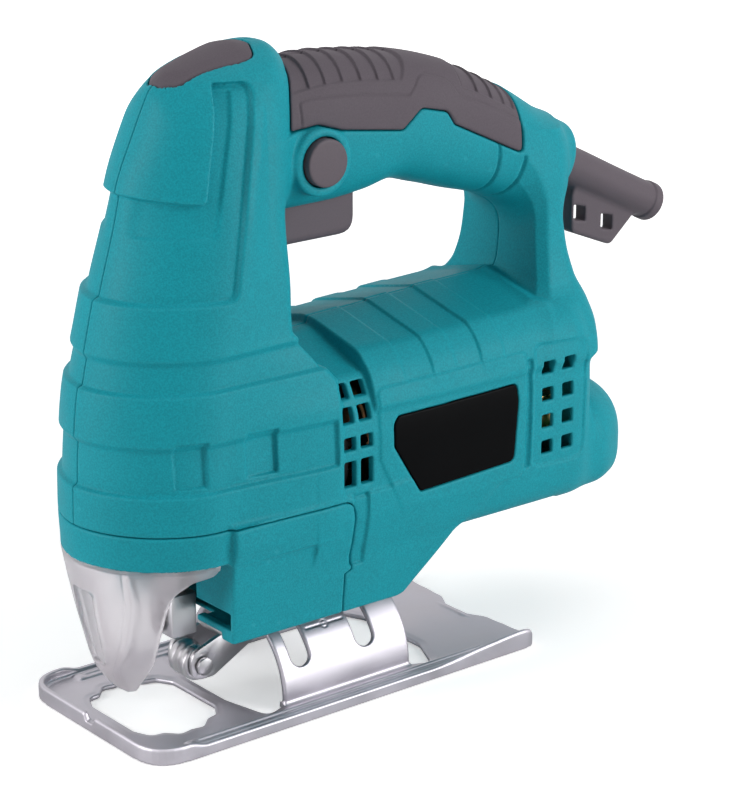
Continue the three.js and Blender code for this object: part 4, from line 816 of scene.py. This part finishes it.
SIDE_RIBS = (28.6, 31.2)
RIM_WIDTH = 1.8
RIM_X = [0, 12, 19, 60, 102, 124, 140, 143, 145]
RIM_HEIGHT = [5.0, 5.0, 3.4, 3.4, 3.4, 5.2, 6.2, 5.6, 4.0]
SCALE_X = 73.7                 # the bevel scale's mark on the arch
SCALE_TURN = 45.0
DEGREE = 0.42                  # length of a degree on the arch, as the mark uses it


def shoe_field(x, y, z):
    edge = polygon(SHOE_OUTLINE, x, y)
    openings = np.minimum(polygon(BLADE_OPENING, x, y), polygon(ARCH_OPENING, x, y))
    side = np.abs(y)
    # Height of the pressed face: the margin round each opening dips, and ribs stand along the sides.
    dip = 0.35 * smooth(2.4, 0.8, openings)
    plate = np.maximum(np.maximum(edge, z - PLATE + dip), -z)
    for row in SIDE_RIBS:
        past = np.maximum(slab(x, 15.6, 127.0), 0)
        rib = np.hypot(past, np.hypot(side - row, z - PLATE + 0.25)) - 0.95
        plate = blend_min(plate, np.maximum(rib, edge), 0.7)
    bump = np.hypot(np.hypot(x - 16.5, side - 30.0), z - PLATE + 1.2) - 2.3
    plate = blend_min(plate, bump, 0.6)
    height = curve(RIM_X, RIM_HEIGHT, x)
    rim = blend_max(np.maximum(edge, -edge - RIM_WIDTH), z - height, 1.0)
    rim = np.maximum(rim, -z)
    rim = blend_max(rim, np.minimum(x - 139.5, 30.0 - side), 1.0)
    sight = np.maximum(side - 1.8 - 0.4 * np.maximum(z - 3.0, 0), np.maximum(x - 3.0, 2.4 - z))
    rim = blend_max(rim, -sight, 0.8)
    sheet = blend_min(plate, rim, 1.6)
    sheet = np.maximum(sheet, edge)
    sheet = blend_max(sheet, -openings, 0.8)
    # Rolled arch over the bevel axis, with a slot for each shoe screw.
    r = np.hypot(y, z - TILT_Z)
    arch = np.maximum(r - ARCH_RADIUS, ARCH_RADIUS - PLATE - r)
    arch = blend_max(arch, slab(x, *ARCH), 0.8)
    turn = np.degrees(np.arctan2(side, np.maximum(z - TILT_Z, 0.0)))
    for station in ARCH_SLOTS:
        along = np.maximum(turn - 61.0, 0.0) * math.radians(1) * ARCH_RADIUS
        arch = blend_max(arch, 3.5 - np.hypot(x - station, along), 0.8)
    scale = np.maximum(np.abs(x - SCALE_X) - 7.0, np.abs(turn - SCALE_TURN) * DEGREE - 0.25)
    dot = np.abs(np.hypot(x - SCALE_X, (turn - SCALE_TURN) * DEGREE) - 1.1) - 0.2
    arch = arch + 0.25 * smooth(0.3, -0.3, np.minimum(scale, dot)) * (r > ARCH_RADIUS - 1)
    arch = np.maximum(arch, PLATE - 0.6 - z)
    foot = np.maximum(slab(x, *ARCH), slab(z, 0.3, PLATE))
    foot = np.maximum(np.abs(side - ARCH_RADIUS + 1.25) - 1.75, foot)
    return np.maximum(blend_min(blend_min(sheet, foot, 0.6), arch, 1.2), -z)


# ---------------- clear guard
# Height, nose edge, half width and reach of the rounded front.
GUARD = [(8.6, 13.4, 2.0, 4), (11, 10.6, 4.2, 8), (15, 7.4, 8.2, 13), (21, 4.2, 13.2, 17),
         (31, 1.6, 17.6, 21), (42, -0.6, 22.4, 25), (49, -1.4, 27.2, 28), (54.7, -1.8, 29.6, 30)]
GUARD_SIDE = rounded([(-8, 60, 0), (-8, 5, 0), (17, 5, 0), (15.6, 12, 2), (15.4, 20, 3), (15.8, 46, 5),
                      (20, 50, 3), (27.5, 51.2, 3), (27.5, 60, 0)])
GUARD_SLOT = rounded([(-3.4, 21, 2), (3.4, 21, 2), (4.8, 45.5, 2.4), (-4.8, 45.5, 2.4)])
GUARD_WALL = 1.6
GUARD_ROUND = 1.9              # squareness of its plan section
GUARD_TOP = 54.7


def guard_field(x, y, z):
    nose, half, reach = columns(GUARD, z)
    side = np.abs(y)
    shell = oval(np.maximum(nose + reach - x, 0.0), side, GUARD_ROUND, reach, half)
    # The front is a strip between two raised creases.
    crease = curve([9, 18, 26, 34, 46, 55], [2.0, 4.8, 9.1, 12.2, 15.6, 16.4], z)
    strip = 0.5 * ramp_up(0.5, -0.5, side - crease) + 0.4 * ramp_up(0.9, 0.4, np.abs(side - crease))
    shell = shell - strip * smooth(10.0, 16.0, z) * (x < nose + 12)
    shell = np.maximum(shell, -(shell + GUARD_WALL))
    shell = np.maximum(shell, slab(z, 9.0, GUARD_TOP))
    shell = blend_max(shell, polygon(GUARD_SIDE, x, z), 0.7)
    slot = polygon(GUARD_SLOT, y, z)
    shell = blend_max(shell, -np.maximum(slot, x - 12.0), 0.7)
    seat = oval(np.maximum(28.2 - x, 0.0), side, GUARD_ROUND, 30.0, 29.6)
    flange = np.maximum(np.abs(z - 53.9) - 0.8, polygon(GUARD_SIDE, x, z))
    flange = np.maximum(flange, np.abs(seat + GUARD_WALL) - GUARD_WALL)
    return blend_min(shell, flange, 0.6)


# ---------------- materials
def nodes_of(name, color, roughness, metallic=0.0):
    material = bpy.data.materials.new(name)
    material.use_nodes = True
    tree = material.node_tree
    shader = tree.nodes["Principled BSDF"]
    shader.inputs["Base Color"].default_value = (*color, 1.0)
    shader.inputs["Roughness"].default_value = roughness
    shader.inputs["Metallic"].default_value = metallic
    return material, tree, shader


def add(tree, kind, inputs, **settings):
    """A new shader node with its settings, and with a link or a value for each input."""
    node = tree.nodes.new("ShaderNode" + kind)
    for name, value in settings.items():
        setattr(node, name, value)
    for socket, value in inputs.items():
        if isinstance(value, bpy.types.NodeSocket):
            tree.links.new(value, node.inputs[socket])
        else:
            node.inputs[socket].default_value = value
    return node


def noise(tree, scale, detail=3.0, stretch=None):
    """Noise in object space, in cells per metre; stretch squashes it along the axes."""
    place = add(tree, "TexCoord", {}).outputs["Object"]
    if stretch:
        place = add(tree, "Mapping", {"Vector": place, "Scale": stretch}).outputs["Vector"]
    return add(tree, "TexNoise", {"Vector": place, "Scale": scale, "Detail": detail}).outputs["Fac"]


def ramp(tree, source, stops):
    node = add(tree, "ValToRGB", {"Fac": source})
    elements = node.color_ramp.elements
    for i, (position, color) in enumerate(stops):
        if i >= len(elements):
            elements.new(position)
        elements[i].position = position
        elements[i].color = (*color, 1.0)
    return node.outputs["Color"]


def bump(tree, source, shader, strength, distance):
    node = add(tree, "Bump", {"Strength": strength, "Distance": distance, "Height": source})
    tree.links.new(node.outputs["Normal"], shader.inputs["Normal"])


def mix(tree, share, a, b):
    return add(tree, "Mix", {"Factor": share, "A": a, "B": b}, data_type="RGBA").outputs["Result"]


def grey(v):
    return (v, v, v)


def shades(color, share):
    """The colour made darker and lighter by a share of itself."""
    return tuple(c * (1 - share) for c in color), tuple(min(1.0, c * (1 + share)) for c in color)


def textured_plastic(name, color, roughness, grain, depth, speckle=0.12, painted_edge_highlight=0.0, gloss=0.3):
    """Spark-eroded moulding: fine grain in the surface, slight mottling in the colour, and, if asked, a
    painted highlight that lightens its convex edges.
    """
    material, tree, shader = nodes_of(name, color, roughness)
    shader.inputs["Specular IOR Level"].default_value = gloss
    fine = noise(tree, grain, 2.0)
    broad = noise(tree, 60.0, 3.0)
    tint = ramp(tree, fine, zip((0.35, 0.65), shades(color, speckle)))
    cloud = ramp(tree, broad, zip((0.3, 0.7), shades(color, 0.05)))
    color_out = mix(tree, 0.5, tint, cloud)
    # Painted highlight: convex edges, found by their pointiness, are painted in a lighter colour to stand in
    # for the light along rounded edges.
    if painted_edge_highlight:
        pointed = add(tree, "NewGeometry", {}).outputs["Pointiness"]
        edge = ramp(tree, pointed, [(0.515, grey(0)), (0.56, grey(painted_edge_highlight))])
        painted_highlight_colour = (*[min(1.0, c * 1.35 + 0.03) for c in color], 1.0)
        color_out = mix(tree, edge, color_out, painted_highlight_colour)
    tree.links.new(color_out, shader.inputs["Base Color"])
    rough = ramp(tree, broad, [(0.3, grey(roughness - 0.05)), (0.7, grey(roughness + 0.06))])
    tree.links.new(rough, shader.inputs["Roughness"])
    bump(tree, fine, shader, 0.5, depth)
    return material


def metal(name, color, roughness, grain=(1, 1, 1), scale=900.0, depth=0.00002, tint=0.08, spread=0.1):
    """Bare metal with the fine lines that rolling or turning leaves."""
    material, tree, shader = nodes_of(name, color, roughness, 1.0)
    lines = noise(tree, scale, 4.0, grain)
    cloud = noise(tree, 45.0, 4.0)
    shade = ramp(tree, cloud, zip((0.3, 0.7), shades(color, tint)))
    tree.links.new(shade, shader.inputs["Base Color"])
    gloss = ramp(tree, cloud, [(0.3, grey(max(0.05, roughness - spread))), (0.7, grey(roughness + spread))])
    tree.links.new(gloss, shader.inputs["Roughness"])
    bump(tree, lines, shader, 0.3, depth)
    return material


# The teal gets a painted highlight on its convex edges.
TEAL = textured_plastic("teal_plastic", (0.006, 0.270, 0.330), 0.52, 1900.0, 0.00010, 0.24,
                        painted_edge_highlight=0.22, gloss=0.16)
RUBBER = textured_plastic("grip_rubber", (0.102, 0.086, 0.102), 0.66, 2200.0, 0.00005, 0.10, gloss=0.2)
CONTROL = textured_plastic("control_plastic", (0.102, 0.084, 0.100), 0.5, 2000.0, 0.00003, 0.06, gloss=0.25)
PANEL = textured_plastic("black_panel", (0.0012, 0.0014, 0.0018), 0.4, 2000.0, 0.00001, 0.2, gloss=0.04)
MOULDING = textured_plastic("black_moulding", (0.025, 0.025, 0.027), 0.5, 2000.0, 0.00003, 0.1)
CARBON = textured_plastic("carbon_brush", (0.03, 0.03, 0.032), 0.6, 5000.0, 0.00003, 0.25)
ZINC = metal("zinc_sheet", (0.49, 0.47, 0.515), 0.46, (0.15, 1.0, 1.0), 700.0, 0.00004, tint=0.12)
STEEL = metal("turned_steel", (0.56, 0.55, 0.57), 0.32, (0.2, 1.0, 1.0), 1200.0)
ALLOY = metal("cast_alloy", (0.62, 0.62, 0.64), 0.45, (1, 1, 1), 1500.0, 0.00005)
COPPER = metal("enamelled_copper", (0.62, 0.27, 0.12), 0.35, (6.0, 1.0, 1.0), 500.0, 0.0001)
BRASS = metal("brass", (0.72, 0.52, 0.22), 0.3, (1.0, 0.2, 1.0), 900.0)
BRONZE = metal("sintered_bronze", (0.42, 0.28, 0.13), 0.5, (1, 1, 1), 2500.0, 0.00006)


def clear_plastic():
    material, tree, shader = nodes_of("clear_plastic", (0.80, 0.765, 0.795), 0.34)
    shader.inputs["Transmission Weight"].default_value = 0.78
    shader.inputs["IOR"].default_value = 1.25
    haze = noise(tree, 120.0, 3.0)
    gloss = ramp(tree, haze, [(0.35, grey(0.28)), (0.65, grey(0.4))])
    tree.links.new(gloss, shader.inputs["Roughness"])
    bump(tree, haze, shader, 0.1, 0.0001)
    return material


CLEAR = clear_plastic()

# ---------------- build the pieces
BODY = "tool_body"


def build(name, field, low, high, step, body, slot, material, *replaced):
    piece = field_piece(name, field, low, high, step, body, material)
    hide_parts(*replaced)
    return piece


build("left_shell", housing_field(-1), (-4, -36, 26), (197, 1, 201), MOULD_STEP,
      BODY, "teal_plastic", TEAL, "left_housing")
build("right_shell", housing_field(1), (-4, -1, 26), (197, 36, 201), MOULD_STEP,
      BODY, "teal_plastic", TEAL, "right_housing")
build("gearbox_front", cover_field, (-4, -36, 22), (95, 36, 67), MOULD_STEP,
      BODY, "teal_plastic", TEAL, "gearbox_cover")
build("soft_grip_left", grip_field(-1), (52, -20, 153), (153, 1, 194), FINE_STEP,
      BODY, "grip_rubber", RUBBER, "grip_left")
build("soft_grip_right", grip_field(1), (52, -1, 153), (153, 20, 194), FINE_STEP,
      BODY, "grip_rubber", RUBBER, "grip_right")
build("soft_cap", cap_field, (27, -12, 186), (63, 12, 200), FINE_STEP,
      BODY, "grip_rubber", RUBBER, "top_cap")
build("bare_panel", label_field, (86, -36, 61), (138, -33, 90), FINE_STEP,
      BODY, "black_panel", PANEL, "label_panel")
build("trigger_moulding", trigger_field, (61, -9, 136), (96, 9, 160), FINE_STEP,
      "switch_trigger", "grip_rubber", CONTROL, "trigger")
build("button_moulding", button_field, (65, -23, 156), (81, -11, 172), FINE_STEP,
      "lock_on_button", "grip_rubber", CONTROL, "lock_button")
build("sleeve_moulding", sleeve_field, (168, -10, 112), (228, 10, 160), FINE_STEP,
      BODY, "grip_rubber", CONTROL, "cord_sleeve")
build("pressed_shoe", shoe_field, (-1, -36, -1), (147, 36, 29), FINE_STEP,
      "shoe", "zinc_sheet", ZINC, "shoe_plate")
build("clear_guard", guard_field, (-3, -31, 7.5), (29, 31, 56), FINE_STEP,
      "blade_guard", "clear_plastic", CLEAR, "guard")

LOOKS = {
    "steel": STEEL, "alloy": ALLOY, "copper": COPPER, "brass": BRASS, "bronze": BRONZE, "carbon": CARBON,
    "black_moulding": MOULDING,
}
WELD_REACH = 0.00001           # metres, as is the width
EDGE_WIDTH = 0.0003
SLOT_OF = {row["node"]: row["material_slot"] for row in frame["record"]["subparts"]}


def dress(node):
    """Material, crisp bevels and smooth shading for a solid that keeps its shape."""
    obj = NODES[node]
    obj.data.materials.clear()
    obj.data.materials.append(LOOKS[SLOT_OF[node]])
    for face in obj.data.polygons:
        face.use_smooth = True
    weld = obj.modifiers.new("weld", "WELD")
    weld.merge_threshold = WELD_REACH
    edge = obj.modifiers.new("edge", "BEVEL")
    edge.width = EDGE_WIDTH
    edge.segments = 2
    edge.limit_method = "ANGLE"
    edge.angle_limit = math.radians(32)
    edge.harden_normals = True


for node in sorted(NODES):
    if not NODES[node].hide_render and SLOT_OF[node] in LOOKS:
        dress(node)

# ---------------- studio
FLOOR_GLOW = 0.46              # what the floor adds for the camera near the object; it fades to white
FLOOR_HALF = 3.0
FLOOR_DROP = 0.0002            # keeps the floor just clear of the sole
WORLD_LIGHT = 0.22
WHITE = (1, 1, 1, 1)
TARGET = (0, 0, 0.1)
LENS = 120.4
CAMERA = (-0.3871, -0.6155, 0.3418)    # from the shoe's front edge
CAMERA_TURN = (51.3, 18.4)             # degrees round, and down


def greater(tree, a, b):
    return add(tree, "Math", {0: a, 1: b}, operation="MAXIMUM").outputs[0]


def seen(tree):
    """The light path node, and 1 for what the camera sees directly or through the clear guard."""
    path = add(tree, "LightPath", {})
    return path, greater(tree, path.outputs["Is Camera Ray"], path.outputs["Is Transmission Ray"])


def ground():
    mesh = bpy.data.meshes.new("floor")
    half = FLOOR_HALF
    corners = [(-half, -half, 0), (half, -half, 0), (half, half, 0), (-half, half, 0)]
    mesh.from_pydata(corners, [], [(0, 1, 2, 3)])
    floor = bpy.data.objects.new("floor", mesh)
    bpy.context.scene.collection.objects.link(floor)
    floor.location.z = CAD_BOX[0][2] - FLOOR_DROP
    material, tree, shader = nodes_of("floor", (0.86, 0.86, 0.86), 0.7)
    mesh.materials.append(material)
    _, direct = seen(tree)
    place = add(tree, "TexCoord", {}).outputs["Object"]
    away = add(tree, "VectorMath", {0: place}, operation="LENGTH").outputs["Value"]
    span = {"Value": away, "From Min": 0.22, "From Max": 0.9, "To Min": FLOOR_GLOW, "To Max": 1.0}
    fade = add(tree, "MapRange", span, interpolation_type="SMOOTHSTEP").outputs["Result"]
    share = add(tree, "Math", {0: direct, 1: fade}, operation="MULTIPLY").outputs[0]
    glow = add(tree, "Emission", {"Color": WHITE, "Strength": share}).outputs["Emission"]
    both = add(tree, "AddShader", {0: shader.outputs["BSDF"], 1: glow}).outputs["Shader"]
    tree.links.new(both, tree.nodes["Material Output"].inputs["Surface"])


def sky():
    world = bpy.data.worlds.new("studio")
    bpy.context.scene.world = world
    world.use_nodes = True
    tree = world.node_tree
    soft = tree.nodes["Background"]
    soft.inputs["Color"].default_value = WHITE
    soft.inputs["Strength"].default_value = WORLD_LIGHT
    white = add(tree, "Background", {"Color": WHITE, "Strength": 1.0}).outputs["Background"]
    path, direct = seen(tree)
    bright = greater(tree, direct, path.outputs["Is Glossy Ray"])
    mixed = add(tree, "MixShader", {"Fac": bright, 1: soft.outputs["Background"], 2: white})
    tree.links.new(mixed.outputs["Shader"], tree.nodes["World Output"].inputs["Surface"])


def lamp(name, place, size, power):
    light = bpy.data.lights.new(name, "AREA")
    light.shape = "RECTANGLE"
    light.size, light.size_y = size
    light.energy = power
    obj = bpy.data.objects.new(name, light)
    bpy.context.scene.collection.objects.link(obj)
    obj.location = place
    obj.rotation_euler = (Vector(TARGET) - Vector(place)).to_track_quat("-Z", "Y").to_euler()


def camera():
    data = bpy.data.cameras.new("camera")
    data.sensor_width = 36.0
    data.lens = LENS
    data.clip_start = 0.05
    obj = bpy.data.objects.new("camera", data)
    bpy.context.scene.collection.objects.link(obj)
    obj.location = (SHIFT + CAMERA[0], CAMERA[1], CAMERA[2])
    yaw, pitch = (math.radians(angle) for angle in CAMERA_TURN)
    aim = Vector((math.cos(yaw) * math.cos(pitch), math.sin(yaw) * math.cos(pitch), -math.sin(pitch)))
    obj.rotation_euler = aim.to_track_quat("-Z", "Y").to_euler()
    bpy.context.scene.camera = obj


ground()
sky()
lamp("left_box", (-0.98, 0.28, 0.45), (0.4, 0.8), 7.3)
lamp("right_box", (0.5, -0.9, 0.45), (0.5, 0.8), 8.1)
lamp("top_box", (0.2, -0.1, 1.1), (0.7, 0.7), 2.4)
camera()
bpy.context.scene.view_settings.view_transform = "Standard"
